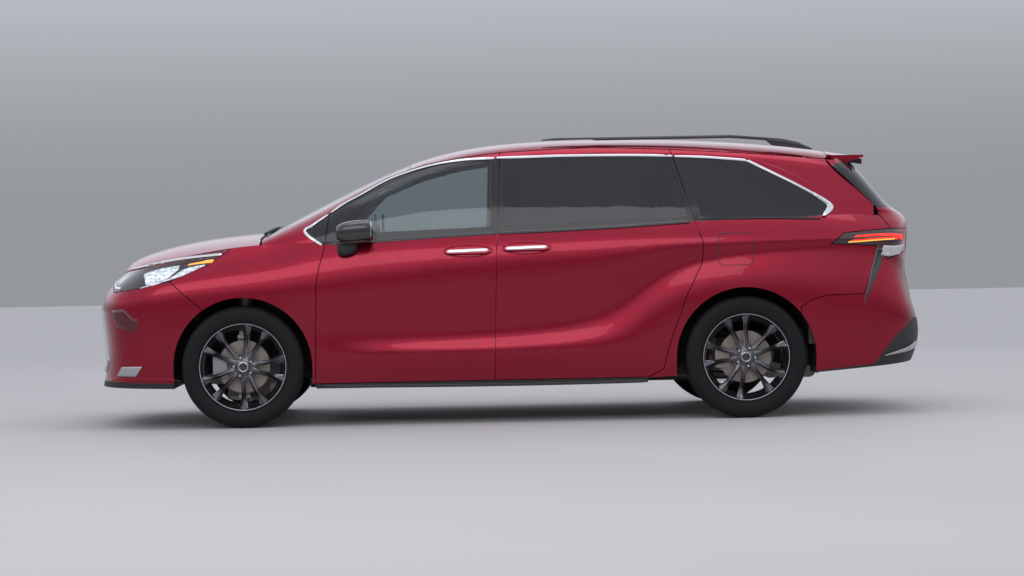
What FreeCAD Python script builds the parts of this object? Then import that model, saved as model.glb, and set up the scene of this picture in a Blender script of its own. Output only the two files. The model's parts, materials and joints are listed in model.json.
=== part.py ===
import FreeCAD, Part
import math
import os

# A seven-seat minivan with sliding side doors, a top-hinged tailgate and front steering.
# X runs rearwards, Y to the vehicle's right, Z up. The origin is on the ground at the middle of the length.

V = FreeCAD.Vector

# Driving dimensions, in millimetres

FRONT_OVERHANG = 960.0
WHEELBASE = 3060.0
REAR_OVERHANG = 1164.0
WIDTH = 1994.0
HEIGHT = 1740.0
TRACK = 1716.0
TYRE_R = 371.5
TYRE_W = 235.0
RIM_R = 254.0
ARCH_R = 421.0
SEAM = 5.0
DOOR_T = 105.0
QUARTER_T = 80.0
BUMPER_T = 42.0
GATE_T = 62.0
ROOF_T = 42.0
FRAME_T = 62.0
PILLAR_T = 34.0
GLASS_T = 5.0
GLASS_INSET = 3.0
SEAT_GAP = 0.3
OVERRUN = 60.0

LENGTH = FRONT_OVERHANG + WHEELBASE + REAR_OVERHANG
HALF_L = LENGTH / 2
HALF_W = WIDTH / 2
FRONT_AXLE_X = FRONT_OVERHANG - HALF_L
REAR_AXLE_X = FRONT_AXLE_X + WHEELBASE


def station(share):
    """x of a station: -1 is the nose, 0 the front axle, 1 the rear axle and 2 the tail."""
    if share < 0:
        return FRONT_AXLE_X + share * FRONT_OVERHANG
    if share <= 1:
        return FRONT_AXLE_X + share * WHEELBASE
    return REAR_AXLE_X + (share - 1) * REAR_OVERHANG


def on_left(station_share, width_share, height_share):
    """A point on the left side, from shares of the length, the half width and the height."""
    return V(station(station_share), -width_share * HALF_W, height_share * HEIGHT)


# The lower body is one surface that wraps in plan from the nose, along the left side, to the tail.
# Each table has a value for each column of control points: nose, side and tail.

nose_width_shares = (0.0, 0.20, 0.42, 0.66, 0.845, 0.918)
side_station_shares = (
    -0.446, -0.238, 0.0, 0.076, 0.148, 0.272, 0.403, 0.533, 0.664, 0.746, 0.811, 0.876, 0.942, 1.0, 1.19, 1.36, 1.53,
)
tail_width_shares = (0.905, 0.83, 0.64, 0.40, 0.20, 0.0)

# Rows of the net, from the bottom edge to the belt line. In each: the nose's station shares and height shares,
# the side's width and height shares, and the tail's station and height shares.

LOWER_ROWS = (
    {
        "name": "bottom edge",
        "nose_share": 0.986,
        "tail_share": 0.995,
        "nose_x_shares": (-0.967, -0.967, -0.955, -0.915, -0.80, -0.645),
        "nose_z_shares": (0.147, 0.147, 0.147, 0.146, 0.145, 0.143),
        "side_y_shares": (0.925, 0.942, 0.950, 0.952, 0.948, 0.945, 0.944, 0.943, 0.943, 0.944, 0.946, 0.950, 0.954, 0.956, 0.954, 0.948, 0.935),
        "side_z_shares": (0.141, 0.139, 0.136, 0.134, 0.133, 0.132, 0.131, 0.131, 0.131, 0.131, 0.132, 0.133, 0.136, 0.140, 0.146, 0.154, 0.163),
        "tail_x_shares": (1.70, 1.83, 1.915, 1.945, 1.955, 1.955),
        "tail_z_shares": (0.171, 0.178, 0.182, 0.184, 0.185, 0.185),
    },
    {
        "name": "sill turn",
        "nose_share": 1.01,
        "tail_share": 1.02,
        "nose_x_shares": (-0.950, -0.950, -0.938, -0.905, -0.800, -0.640),
        "nose_z_shares": (0.190, 0.190, 0.190, 0.190, 0.190, 0.190),
        "side_y_shares": (0.950, 0.966, 0.975, 0.974, 0.966, 0.963, 0.963, 0.963, 0.963, 0.964, 0.966, 0.972, 0.980, 0.983, 0.981, 0.974, 0.958),
        "side_z_shares": (0.190, 0.190, 0.188, 0.186, 0.185, 0.184, 0.184, 0.184, 0.184, 0.185, 0.187, 0.190, 0.193, 0.196, 0.202, 0.208, 0.214),
        "tail_x_shares": (1.72, 1.86, 1.945, 1.975, 1.985, 1.985),
        "tail_z_shares": (0.219, 0.224, 0.228, 0.230, 0.231, 0.231),
    },
    {
        "name": "lower crease",
        "nose_share": 1.02,
        "tail_share": 1.03,
        "nose_x_shares": (-0.928, -0.928, -0.920, -0.892, -0.795, -0.635),
        "nose_z_shares": (0.253, 0.253, 0.253, 0.253, 0.253, 0.253),
        "side_y_shares": (0.962, 0.980, 0.988, 0.985, 0.972, 0.978, 0.984, 0.986, 0.986, 0.982, 0.974, 0.975, 0.985, 0.990, 0.988, 0.982, 0.968),
        "side_z_shares": (0.253, 0.252, 0.250, 0.248, 0.247, 0.249, 0.250, 0.252, 0.259, 0.266, 0.272, 0.276, 0.280, 0.282, 0.284, 0.286, 0.288),
        "tail_x_shares": (1.735, 1.88, 1.962, 1.987, 1.997, 1.997),
        "tail_z_shares": (0.289, 0.290, 0.291, 0.292, 0.292, 0.292),
    },
    {
        "name": "ridge",
        "nose_share": 1.025,
        "tail_share": 1.035,
        "nose_x_shares": (-0.936, -0.936, -0.930, -0.902, -0.805, -0.640),
        "nose_z_shares": (0.322, 0.322, 0.322, 0.322, 0.322, 0.322),
        "side_y_shares": (0.968, 0.985, 0.992, 0.989, 0.973, 0.970, 0.970, 0.969, 0.967, 0.966, 0.975, 0.992, 0.999, 1.0, 0.998, 0.990, 0.973),
        "side_z_shares": (0.325, 0.326, 0.325, 0.318, 0.272, 0.272, 0.274, 0.280, 0.295, 0.322, 0.392, 0.452, 0.486, 0.498, 0.492, 0.470, 0.440),
        "tail_x_shares": (1.735, 1.875, 1.945, 1.962, 1.970, 1.970),
        "tail_z_shares": (0.405, 0.372, 0.356, 0.350, 0.350, 0.350),
    },
    {
        "name": "valley",
        "nose_share": 1.03,
        "tail_share": 1.0,
        "nose_x_shares": (-0.952, -0.952, -0.945, -0.912, -0.812, -0.645),
        "nose_z_shares": (0.385, 0.385, 0.385, 0.385, 0.387, 0.388),
        "side_y_shares": (0.970, 0.987, 0.995, 0.992, 0.975, 0.956, 0.952, 0.950, 0.947, 0.944, 0.943, 0.950, 0.957, 0.960, 0.958, 0.952, 0.938),
        "side_z_shares": (0.390, 0.392, 0.395, 0.385, 0.345, 0.310, 0.308, 0.316, 0.338, 0.390, 0.485, 0.537, 0.555, 0.565, 0.575, 0.583, 0.590),
        "tail_x_shares": (1.70, 1.825, 1.885, 1.905, 1.912, 1.912),
        "tail_z_shares": (0.585, 0.515, 0.470, 0.445, 0.440, 0.440),
    },
    {
        "name": "mid side",
        "nose_share": 1.03,
        "tail_share": 1.008,
        "nose_x_shares": (-0.968, -0.968, -0.955, -0.918, -0.812, -0.645),
        "nose_z_shares": (0.428, 0.428, 0.430, 0.436, 0.444, 0.450),
        "side_y_shares": (0.970, 0.988, 0.996, 0.994, 0.985, 0.977, 0.975, 0.974, 0.973, 0.972, 0.968, 0.966, 0.967, 0.968, 0.966, 0.960, 0.945),
        "side_z_shares": (0.452, 0.455, 0.462, 0.455, 0.425, 0.425, 0.436, 0.450, 0.470, 0.500, 0.546, 0.577, 0.589, 0.597, 0.604, 0.610, 0.614),
        "tail_x_shares": (1.70, 1.83, 1.893, 1.915, 1.922, 1.922),
        "tail_z_shares": (0.612, 0.585, 0.565, 0.550, 0.545, 0.545),
    },
    {
        "name": "shoulder",
        "nose_share": 1.02,
        "tail_share": 1.006,
        "nose_x_shares": (-0.950, -0.950, -0.928, -0.880, -0.775, -0.625),
        "nose_z_shares": (0.475, 0.475, 0.477, 0.482, 0.488, 0.493),
        "side_y_shares": (0.962, 0.983, 0.995, 0.996, 0.994, 0.991, 0.989, 0.988, 0.986, 0.984, 0.982, 0.980, 0.978, 0.976, 0.971, 0.962, 0.944),
        "side_z_shares": (0.497, 0.502, 0.506, 0.506, 0.508, 0.525, 0.546, 0.566, 0.583, 0.595, 0.603, 0.610, 0.616, 0.621, 0.627, 0.632, 0.635),
        "tail_x_shares": (1.70, 1.835, 1.905, 1.928, 1.936, 1.936),
        "tail_z_shares": (0.637, 0.638, 0.638, 0.638, 0.638, 0.638),
    },
    {
        "name": "upper shoulder",
        "nose_share": 0.975,
        "tail_share": 0.962,
        "nose_x_shares": (-0.905, -0.905, -0.880, -0.825, -0.715, -0.570),
        "nose_z_shares": (0.512, 0.512, 0.514, 0.520, 0.527, 0.535),
        "side_y_shares": (0.925, 0.948, 0.962, 0.966, 0.968, 0.968, 0.967, 0.965, 0.963, 0.961, 0.958, 0.955, 0.951, 0.946, 0.938, 0.925, 0.900),
        "side_z_shares": (0.545, 0.558, 0.572, 0.580, 0.590, 0.607, 0.622, 0.634, 0.644, 0.652, 0.656, 0.661, 0.664, 0.667, 0.670, 0.673, 0.675),
        "tail_x_shares": (1.685, 1.835, 1.915, 1.937, 1.943, 1.943),
        "tail_z_shares": (0.677, 0.678, 0.678, 0.678, 0.678, 0.678),
    },
    {
        "name": "belt",
        "nose_share": 0.885,
        "tail_share": 0.905,
        "nose_x_shares": (-0.840, -0.840, -0.815, -0.755, -0.660, -0.545),
        "nose_z_shares": (0.540, 0.540, 0.544, 0.552, 0.562, 0.575),
        "side_y_shares": (0.845, 0.862, 0.880, 0.898, 0.925, 0.934, 0.935, 0.933, 0.930, 0.927, 0.923, 0.918, 0.912, 0.905, 0.895, 0.880, 0.850),
        "side_z_shares": (0.592, 0.614, 0.634, 0.640, 0.643, 0.650, 0.657, 0.664, 0.672, 0.679, 0.684, 0.690, 0.694, 0.697, 0.701, 0.704, 0.706),
        "tail_x_shares": (1.660, 1.810, 1.895, 1.915, 1.920, 1.920),
        "tail_z_shares": (0.707, 0.707, 0.707, 0.707, 0.707, 0.707),
    },
)

# The greenhouse is one surface over the roof, from belt to belt. Each table has a value for each cross-section.

upper_station_shares = (
    -0.01, 0.043, 0.092, 0.148, 0.213, 0.278, 0.350, 0.435, 0.533, 0.648, 0.778, 0.909, 1.105, 1.36, 1.53, 1.70,
)
UPPER_ROWS = (
    {
        "name": "below the belt",
        "y_shares": (0.860, 0.880, 0.905, 0.914, 0.924, 0.928, 0.930, 0.930, 0.929, 0.927, 0.922, 0.915, 0.897, 0.873, 0.848, 0.822),
        "z_shares": (0.560, 0.575, 0.590, 0.598, 0.604, 0.608, 0.613, 0.620, 0.626, 0.632, 0.641, 0.650, 0.658, 0.665, 0.670, 0.676),
    },
    {
        "name": "belt",
        "y_shares": (0.855, 0.872, 0.895, 0.904, 0.914, 0.918, 0.920, 0.920, 0.919, 0.917, 0.912, 0.905, 0.887, 0.863, 0.838, 0.812),
        "z_shares": (0.590, 0.610, 0.630, 0.638, 0.644, 0.648, 0.653, 0.660, 0.666, 0.672, 0.681, 0.690, 0.698, 0.705, 0.710, 0.716),
    },
    {
        "name": "middle of the glass",
        "y_shares": (0.850, 0.866, 0.884, 0.892, 0.894, 0.892, 0.886, 0.878, 0.872, 0.869, 0.866, 0.862, 0.850, 0.832, 0.810, 0.785),
        "z_shares": (0.600, 0.622, 0.648, 0.668, 0.704, 0.736, 0.764, 0.787, 0.800, 0.805, 0.808, 0.807, 0.802, 0.796, 0.790, 0.784),
    },
    {
        "name": "top of the glass",
        "y_shares": (0.840, 0.855, 0.868, 0.868, 0.846, 0.824, 0.804, 0.788, 0.780, 0.777, 0.777, 0.775, 0.768, 0.755, 0.738, 0.718),
        "z_shares": (0.612, 0.636, 0.665, 0.696, 0.760, 0.820, 0.872, 0.911, 0.930, 0.936, 0.932, 0.922, 0.905, 0.886, 0.868, 0.850),
    },
    {
        "name": "roof side, lower",
        "y_shares": (0.820, 0.832, 0.840, 0.832, 0.808, 0.786, 0.768, 0.753, 0.746, 0.743, 0.742, 0.739, 0.729, 0.713, 0.696, 0.676),
        "z_shares": (0.622, 0.648, 0.680, 0.714, 0.781, 0.841, 0.893, 0.933, 0.953, 0.959, 0.956, 0.947, 0.931, 0.912, 0.895, 0.878),
    },
    {
        "name": "roof side, upper",
        "y_shares": (0.740, 0.752, 0.765, 0.758, 0.738, 0.714, 0.697, 0.686, 0.681, 0.679, 0.679, 0.676, 0.663, 0.646, 0.627, 0.607),
        "z_shares": (0.632, 0.662, 0.700, 0.742, 0.803, 0.859, 0.908, 0.948, 0.969, 0.977, 0.975, 0.968, 0.951, 0.934, 0.917, 0.900),
    },
    {
        "name": "outer roof",
        "y_shares": (0.530, 0.540, 0.550, 0.548, 0.540, 0.530, 0.522, 0.516, 0.512, 0.510, 0.510, 0.508, 0.500, 0.486, 0.470, 0.454),
        "z_shares": (0.640, 0.672, 0.716, 0.764, 0.821, 0.875, 0.924, 0.963, 0.984, 0.992, 0.991, 0.984, 0.967, 0.949, 0.932, 0.915),
    },
    {
        "name": "inner roof",
        "y_shares": (0.260, 0.262, 0.265, 0.265, 0.263, 0.260, 0.258, 0.256, 0.255, 0.255, 0.255, 0.254, 0.250, 0.245, 0.238, 0.230),
        "z_shares": (0.644, 0.679, 0.725, 0.775, 0.831, 0.885, 0.933, 0.972, 0.993, 1.0, 1.0, 0.993, 0.976, 0.958, 0.941, 0.924),
    },
)


def net_surface(net):
    """The cubic surface of a net of control points, clamped at its edges."""
    counts = []
    for count in (len(net), len(net[0])):
        spans = count - 3
        counts.append((list(range(spans + 1)), [4] + [1] * (spans - 1) + [4]))
    (u_knots, u_mults), (v_knots, v_mults) = counts
    surface = Part.BSplineSurface()
    surface.buildFromPolesMultsKnots(net, u_mults, v_mults, u_knots, v_knots, False, False, 3, 3)
    return surface


def greville(count, index):
    """The parameter where a clamped cubic's control point has the most weight."""
    knots = [0] * 3 + list(range(count - 2)) + [count - 3] * 3
    return sum(knots[index + 1:index + 4]) / 3.0


def inward_net(net, depth, middle):
    """The net moved inwards by a depth, along the surface's normals, away from nothing and towards middle."""
    surface = net_surface(net)
    moved = []
    for i, row in enumerate(net):
        u = greville(len(net), i)
        line = []
        for j, pole in enumerate(row):
            normal = surface.normal(u, greville(len(row), j))
            here = surface.value(u, greville(len(row), j))
            if normal.dot(middle(here) - here) < 0:
                normal = -normal
            line.append(pole + normal * depth)
        moved.append(line)
    return moved


def slab(net, near, far, middle):
    """A closed solid between two depths below the net's surface."""
    outer = net_surface(inward_net(net, near, middle) if near else net)
    inner = net_surface(inward_net(net, far, middle))
    faces = [outer.toShape(), inner.toShape()]
    u0, u1, v0, v1 = outer.bounds()
    for iso, at in (("uIso", u0), ("uIso", u1), ("vIso", v0), ("vIso", v1)):
        faces.append(Part.makeRuledSurface(getattr(outer, iso)(at).toShape(), getattr(inner, iso)(at).toShape()))
    shell = Part.makeShell(faces)
    shell.sewShape()
    solid = Part.Solid(Part.Shell(shell.Faces))
    if solid.Volume < 0:
        solid.reverse()
    return solid


def lower_columns(rows):
    """The columns of the lower body's net, from the nose along the left side to the tail."""
    nose, side, tail = [], [], []
    for k, share in enumerate(nose_width_shares):
        nose.append([on_left(r["nose_x_shares"][k], share * r["nose_share"], r["nose_z_shares"][k]) for r in rows])
    for k, share in enumerate(side_station_shares):
        side.append([on_left(share, r["side_y_shares"][k], r["side_z_shares"][k]) for r in rows])
    for k, share in enumerate(tail_width_shares):
        tail.append([on_left(r["tail_x_shares"][k], share * r["tail_share"], r["tail_z_shares"][k]) for r in rows])
    return nose, side, tail


def across(columns):
    """Columns that reach the middle, followed by their mirror images on the other side."""
    return columns + [[V(p.x, -p.y, p.z) for p in column] for column in reversed(columns[:-1])]


def upper_net():
    """The greenhouse's net, from the left belt over the roof to the right belt."""
    columns = []
    for k, station_share in enumerate(upper_station_shares):
        left = [on_left(station_share, r["y_shares"][k], r["z_shares"][k]) for r in UPPER_ROWS]
        right = [V(p.x, -p.y, p.z) for p in reversed(left)]
        columns.append(left + right)
    return columns


def lower_middle(point):
    """A point deep inside the lower body, level with a point on its skin."""
    return V(max(min(point.x, REAR_AXLE_X), FRONT_AXLE_X), 0, point.z)


def upper_middle(point):
    """A point deep inside the cabin, level along the length with a point on its skin."""
    return V(point.x, 0, TYRE_R)


# Rows that the tailgate's net adds above the belt, and the places on each of its columns.

GATE_ROWS = (
    {
        "name": "over the ledge",
        "side_y_shares": (0.887, 0.863, 0.838),
        "side_z_shares": (0.712, 0.717, 0.720),
        "tail_share": 0.93,
        "tail_x_shares": (1.67, 1.79, 1.855, 1.875, 1.880, 1.880),
        "tail_z_shares": (0.721, 0.721, 0.721, 0.721, 0.721, 0.721),
    },
    {
        "name": "foot of the glass",
        "side_y_shares": (0.880, 0.855, 0.828),
        "side_z_shares": (0.738, 0.742, 0.745),
        "tail_share": 0.915,
        "tail_x_shares": (1.655, 1.755, 1.808, 1.824, 1.832, 1.832),
        "tail_z_shares": (0.744, 0.744, 0.744, 0.744, 0.744, 0.744),
    },
    {
        "name": "middle of the glass",
        "side_y_shares": (0.855, 0.835, 0.812),
        "side_z_shares": (0.800, 0.795, 0.792),
        "tail_share": 0.880,
        "tail_x_shares": (1.62, 1.69, 1.735, 1.750, 1.757, 1.757),
        "tail_z_shares": (0.808, 0.808, 0.810, 0.810, 0.810, 0.810),
    },
    {
        "name": "top of the glass",
        "side_y_shares": (0.795, 0.780, 0.765),
        "side_z_shares": (0.876, 0.870, 0.865),
        "tail_share": 0.82,
        "tail_x_shares": (1.555, 1.610, 1.645, 1.660, 1.666, 1.666),
        "tail_z_shares": (0.873, 0.881, 0.885, 0.887, 0.888, 0.888),
    },
    {
        "name": "roof edge",
        "side_y_shares": (0.740, 0.725, 0.705),
        "side_z_shares": (0.925, 0.910, 0.898),
        "tail_share": 0.76,
        "tail_x_shares": (1.50, 1.555, 1.59, 1.605, 1.610, 1.610),
        "tail_z_shares": (0.904, 0.914, 0.920, 0.922, 0.923, 0.923),
    },
)

# Seam lines in side view. Each point is a share of the half length and a share of the height.

fender_seam_shares = ((-0.4344, 0.623), (-0.451, 0.533), (-0.4549, 0.490), (-0.4562, 0.40), (-0.4600, 0.150))
door_seam_shares = ((-0.0290, 0.663), (-0.0345, 0.45), (-0.0405, 0.150))
quarter_seam_shares = (
    (0.4375, 0.690), (0.4545, 0.615), (0.4514, 0.548), (0.4140, 0.436), (0.3738, 0.277), (0.3553, 0.177),
    (0.3191, 0.150),
)
roof_seam_shares = (
    (-0.2876, 0.8645), (-0.199, 0.910), (-0.10, 0.9345), (-0.0177, 0.948), (0.20, 0.962), (0.386, 0.948),
    (0.571, 0.930), (0.7581, 0.9063),
)
gate_seam_shares = ((0.7581, 0.9063), (0.7728, 0.877), (0.8708, 0.7333), (0.8804, 0.7011), (0.9043, 0.654))
pillar_seam_shares = ((-0.4344, 0.623), (-0.4225, 0.7425), (-0.3860, 0.785), (-0.3488, 0.8145))
roof_corner_share = 0.8933
upper_inner_share = 0.66
bumper_seam_shares = ((-0.7986, 0.5161), (-0.7218, 0.4161))
lamp_foot_shares = ((-0.6663, 0.6138), (-0.7106, 0.5695), (-0.7986, 0.5161), (-0.8704, 0.4931), (-0.9356, 0.480))
lamp_front_shares = ((-0.950, 0.520), (-0.956, 0.62))
fin_shares = ((0.8704, 0.5931), (0.858, 0.5316), (0.8318, 0.427))
rear_seam_shares = ((0.8318, 0.427), (0.7404, 0.4247), (0.7052, 0.408), (0.6809, 0.3856))
tail_lamp_shares = (
    (0.7562, 0.604), (0.7882, 0.6414), (0.8816, 0.6523), (0.9043, 0.654), (1.1, 0.654), (1.1, 0.5776),
    (0.9533, 0.5776), (0.8924, 0.546), (0.8704, 0.5931),
)
valance_shares = ((0.7153, 0.1586), (0.8557, 0.1782), (0.9047, 0.2701), (0.9579, 0.3351), (1.1, 0.3351), (1.1, 0.10))
front_window_shares = (
    (-0.3960, 0.6700), (-0.0450, 0.6860), (-0.0400, 0.9210), (-0.110, 0.9060), (-0.200, 0.8740), (-0.3029, 0.8167),
)
sliding_window_shares = ((-0.0120, 0.6890), (0.4220, 0.7080), (0.3820, 0.9260), (0.200, 0.9390), (-0.0030, 0.9260))
quarter_window_shares = ((0.4530, 0.7120), (0.7620, 0.7340), (0.700, 0.810), (0.5710, 0.9030), (0.4120, 0.9220))
gate_window_shares = ((-0.700, 0.748), (0.700, 0.748), (0.585, 0.880), (-0.585, 0.880))
gate_lower_shares = ((-0.60, 0.405), (0.60, 0.405), (0.655, 0.662), (-0.655, 0.662))
grille_opening_shares = (
    (-0.400, 0.410), (0.400, 0.410), (0.470, 0.345), (0.640, 0.243), (0.600, 0.212), (-0.600, 0.212), (-0.640, 0.243),
    (-0.470, 0.345),
)
pillar_foot_shares = ((-0.4410, 0.50), (-0.4250, 0.50), (-0.4250, 0.66), (-0.4410, 0.66))
windshield_foot_share = 0.765
windshield_head_share = 0.655
windshield_front_share = -0.5840
roof_front_share = -0.2315
hood_rear_share = -0.5860
door_foot_share = 0.150
outside_share = 1.10
deep_share = 0.30


def polygon(points):
    """A flat face inside a closed run of points."""
    return Part.Face(Part.makePolygon(list(points) + [points[0]]))


def drawn_in(points, gap):
    """The corners of an outline whose sides are moved inwards by a gap, or outwards by a gap below zero."""
    turn = sum(a[0] * b[1] - b[0] * a[1] for a, b in zip(points, points[1:] + points[:1]))
    inward = gap if turn > 0 else -gap
    moved = []
    for k, (x, y) in enumerate(points):
        before = points[k - 1]
        after = points[(k + 1) % len(points)]
        ax, ay = x - before[0], y - before[1]
        bx, by = after[0] - x, after[1] - y
        a_length, b_length = math.hypot(ax, ay), math.hypot(bx, by)
        nx, ny = -ay / a_length - by / b_length, ax / a_length + bx / b_length
        reach = 2 * inward / (nx * nx + ny * ny) if gap else 0
        moved.append((x + nx * reach, y + ny * reach))
    return moved


def side_prism(shares, gap=SEAM / 2, near_share=outside_share, far_share=deep_share):
    """A left-hand prism across the width, from an outline in side view."""
    corners = drawn_in([(x * HALF_L, z * HEIGHT) for x, z in shares], gap)
    face = polygon([V(x, -near_share * HALF_W, z) for x, z in corners])
    return face.extrude(V(0, (near_share - far_share) * HALF_W, 0))


def upper_prism(shares, gap=SEAM / 2):
    """A left-hand prism for pieces over the belt, which end above the beam over the doors."""
    return side_prism(shares, gap, outside_share, upper_inner_share)


def through_prism(shares, gap=SEAM / 2):
    """A prism across the whole width, from an outline in side view."""
    return side_prism(shares, gap, outside_share, -outside_share)


def end_prism(shares, front_share, rear_share, gap=SEAM / 2):
    """A prism along the length, from an outline in front view."""
    corners = drawn_in([(y * HALF_W, z * HEIGHT) for y, z in shares], gap)
    face = polygon([V(front_share * HALF_L, y, z) for y, z in corners])
    return face.extrude(V((rear_share - front_share) * HALF_L, 0, 0))


def plan_prism(shares, gap=SEAM / 2):
    """A prism from the ground up past the roof, from an outline in plan."""
    face = polygon([V(x, y, 0) for x, y in drawn_in([(x * HALF_L, y * HALF_W) for x, y in shares], gap)])
    return face.extrude(V(0, 0, HEIGHT * outside_share))


def box(x0, x1, y0, y1, z0, z1):
    """A box between two corners."""
    return Part.makeBox(x1 - x0, y1 - y0, z1 - z0, V(x0, y0, z0))


def rod(radius, start, end):
    """A round bar from one point to another."""
    return Part.makeCylinder(radius, (end - start).Length, start, end - start)


def mirrored(shape):
    """The same shape on the right side."""
    return shape.mirror(V(0, 0, 0), V(0, 1, 0))


def both_sides(shape):
    """The shape and its mirror image as one compound."""
    return Part.makeCompound([shape, mirrored(shape)])


def joined(shapes):
    """One solid from shapes that overlap."""
    return shapes[0].multiFuse(shapes[1:]).removeSplitter()


def wheel_arch(x, radius):
    """The round opening above a wheel on the left side, open downwards."""
    centre = V(x, -outside_share * HALF_W, TYRE_R)
    drum = Part.makeCylinder(radius, (outside_share - deep_share) * HALF_W, centre, V(0, 1, 0))
    below = box(x - radius, x + radius, -outside_share * HALF_W, -deep_share * HALF_W, 0, TYRE_R)
    return drum.fuse(below)


class Skins:
    """The thick layers of the body that panels are cut from."""

    def __init__(self):
        nose, side, tail = lower_columns(LOWER_ROWS)
        self.left_net = nose + side + tail
        self.nose_net = across(list(reversed(nose + side[:7])))
        self.tail_net = across(side[8:] + tail)
        self.roof_net = upper_net()
        self.gate_net = across(self.gate_columns(side, tail))
        self.left_net = nose + side + tail

    def gate_columns(self, side, tail):
        """The tail's columns with the rows above the belt."""
        columns = [list(c[2:]) for c in side[14:] + tail]
        for row in GATE_ROWS:
            for k, share in enumerate(side_station_shares[14:]):
                columns[k].append(on_left(share, row["side_y_shares"][k], row["side_z_shares"][k]))
            for k, share in enumerate(tail_width_shares):
                at = columns[3 + k]
                at.append(on_left(row["tail_x_shares"][k], share * row["tail_share"], row["tail_z_shares"][k]))
        return columns

    def left(self, near, far):
        return slab(self.left_net, near, far, lower_middle)

    def nose(self, near, far):
        return slab(self.nose_net, near, far, lower_middle)

    def tail(self, near, far):
        return slab(self.tail_net, near, far, lower_middle)

    def roof(self, near, far):
        return slab(self.roof_net, near, far, upper_middle)

    def gate(self, near, far):
        return slab(self.gate_net, near, far, lower_middle)


# Depths of the layers below the skin

FRAME_DEPTH = DOOR_T + SEAM + 1.0
FRAME_INNER = FRAME_DEPTH + FRAME_T
TOP_DOOR_T = 50.0
TOP_FRAME_DEPTH = TOP_DOOR_T + SEAM + 1.0
TOP_FRAME_INNER = TOP_FRAME_DEPTH + PILLAR_T
ROOF_T = TOP_FRAME_DEPTH - SEAT_GAP
LEDGE_T = 38.0
QUARTER_T = FRAME_DEPTH - SEAT_GAP


def fender_outline():
    seam = list(fender_seam_shares)
    return [(-0.7218, 0.4161), (-0.7218, 0.10)] + list(reversed(seam)) + [
        (-0.4300, 0.72), (-0.6397, 0.72), (-0.6397, 0.6477)] + list(lamp_foot_shares[:3])


def front_fender(skins):
    panel = skins.left(0, BUMPER_T).common(side_prism(fender_outline())).cut(hood_layer(HOOD_T + SEAM))
    return panel.cut(wheel_arch(FRONT_AXLE_X, ARCH_R))


def headlamp(skins):
    outline = list(lamp_foot_shares) + list(lamp_front_shares) + [(-0.70, 0.68), (-0.6397, 0.6477)]
    room = hood_layer(HOOD_T + SEAM)
    room.translate(V(-SEAM / 2, -SEAM / 2, 0))
    return skins.nose(0, BUMPER_T).common(side_prism(outline)).cut(room)


def front_bumper(skins):
    outline = [(-0.7218, 0.4161)] + [(-0.7986, 0.5161)] + list(lamp_foot_shares[3:]) + list(lamp_front_shares) + [
        (-outside_share, 0.62), (-outside_share, 0.172), (-0.7218, 0.155)]
    panel = skins.nose(0, BUMPER_T).common(through_prism(outline))
    panel = panel.cut(end_prism(grille_opening_shares, -outside_share, -0.80, 0)).cut(hood_layer(HOOD_T + SEAM))
    return panel.cut(both_sides(wheel_arch(FRONT_AXLE_X, ARCH_R)))


def front_splitter(skins):
    outline = [(-outside_share, 0.172), (-outside_share, 0.10), (-0.7218, 0.10), (-0.7218, 0.155)]
    panel = skins.nose(0, BUMPER_T).common(through_prism(outline, SEAT_GAP - SEAM / 2))
    return panel.cut(both_sides(wheel_arch(FRONT_AXLE_X, ARCH_R)))


def grille(skins):
    """The mesh behind the opening: a plate with level slots."""
    plate = skins.nose(BUMPER_T / 3, BUMPER_T).common(end_prism(grille_opening_shares, -outside_share, -0.80, SEAT_GAP))
    bars = 9
    foot = grille_opening_shares[4][1] * HEIGHT
    pitch = (grille_opening_shares[0][1] * HEIGHT - foot) / bars
    for k in range(bars):
        low = foot + (k + 0.35) * pitch
        plate = plate.cut(box(-HALF_L, -HALF_L * 0.80, -HALF_W * 0.33, HALF_W * 0.33, low, low + pitch / 2))
    return plate


def hood_patch():
    """Rows of points on the hood, from side to side, each row from the front edge to the cowl."""
    nose, side, tail = lower_columns(LOWER_ROWS)
    edge = net_surface(nose + side + tail)
    belt = edge.vIso(edge.bounds()[3])
    first, last = belt.FirstParameter, belt.LastParameter
    samples = [belt.value(first + (last - first) * k / 600) for k in range(600)]
    corner_y = -nose_width_shares[4] * HALF_W * LOWER_ROWS[-1]["nose_share"]
    rear_x = hood_rear_share * HALF_L

    def at(key, wanted, picks):
        for a, b in zip(picks, picks[1:]):
            if (key(a) - wanted) * (key(b) - wanted) <= 0 and key(a) != key(b):
                return a + (b - a) * ((wanted - key(a)) / (key(b) - key(a)))
        return picks[-1]

    start = at(lambda p: p.y, corner_y, samples)
    front = [p for p in samples if p.x < start.x] + [start]
    flank = [start] + [p for p in samples if p.x > start.x]
    across_shares = (0, 0.18, 0.36, 0.54, 0.70, 0.84, 0.94, 1)
    along_shares = (0, 0.10, 0.22, 0.36, 0.50, 0.64, 0.78, 0.90, 1)
    crown_shares = (0, 0.42, 0.60, 0.74, 0.84, 0.91, 0.96, 0.99, 1)
    crown_top = 0.682 * HEIGHT
    rows = []
    for s in across_shares:
        nose_point = at(lambda p: p.y, s * corner_y, front)
        row = []
        for k, v in enumerate(along_shares):
            side_x = start.x + (rear_x - start.x) * v
            side_point = at(lambda p: p.x, side_x, flank)
            middle_z = front[0].z + (crown_top - front[0].z) * crown_shares[k]
            fade = (1 - v) ** 2
            x = side_point.x + (nose_point.x - start.x) * fade
            bulge = 1 - s ** 2.6
            z = side_point.z + (middle_z - side_point.z) * bulge
            plain = start.z + (front[0].z - start.z) * bulge
            z += (nose_point.z - plain) * fade
            row.append(V(x, s * side_point.y, z))
        rows.append(row)
    left = list(reversed(rows))
    return left + [[V(p.x, -p.y, p.z) for p in row] for row in rows[1:]]


HOOD_T = 34.0


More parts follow.
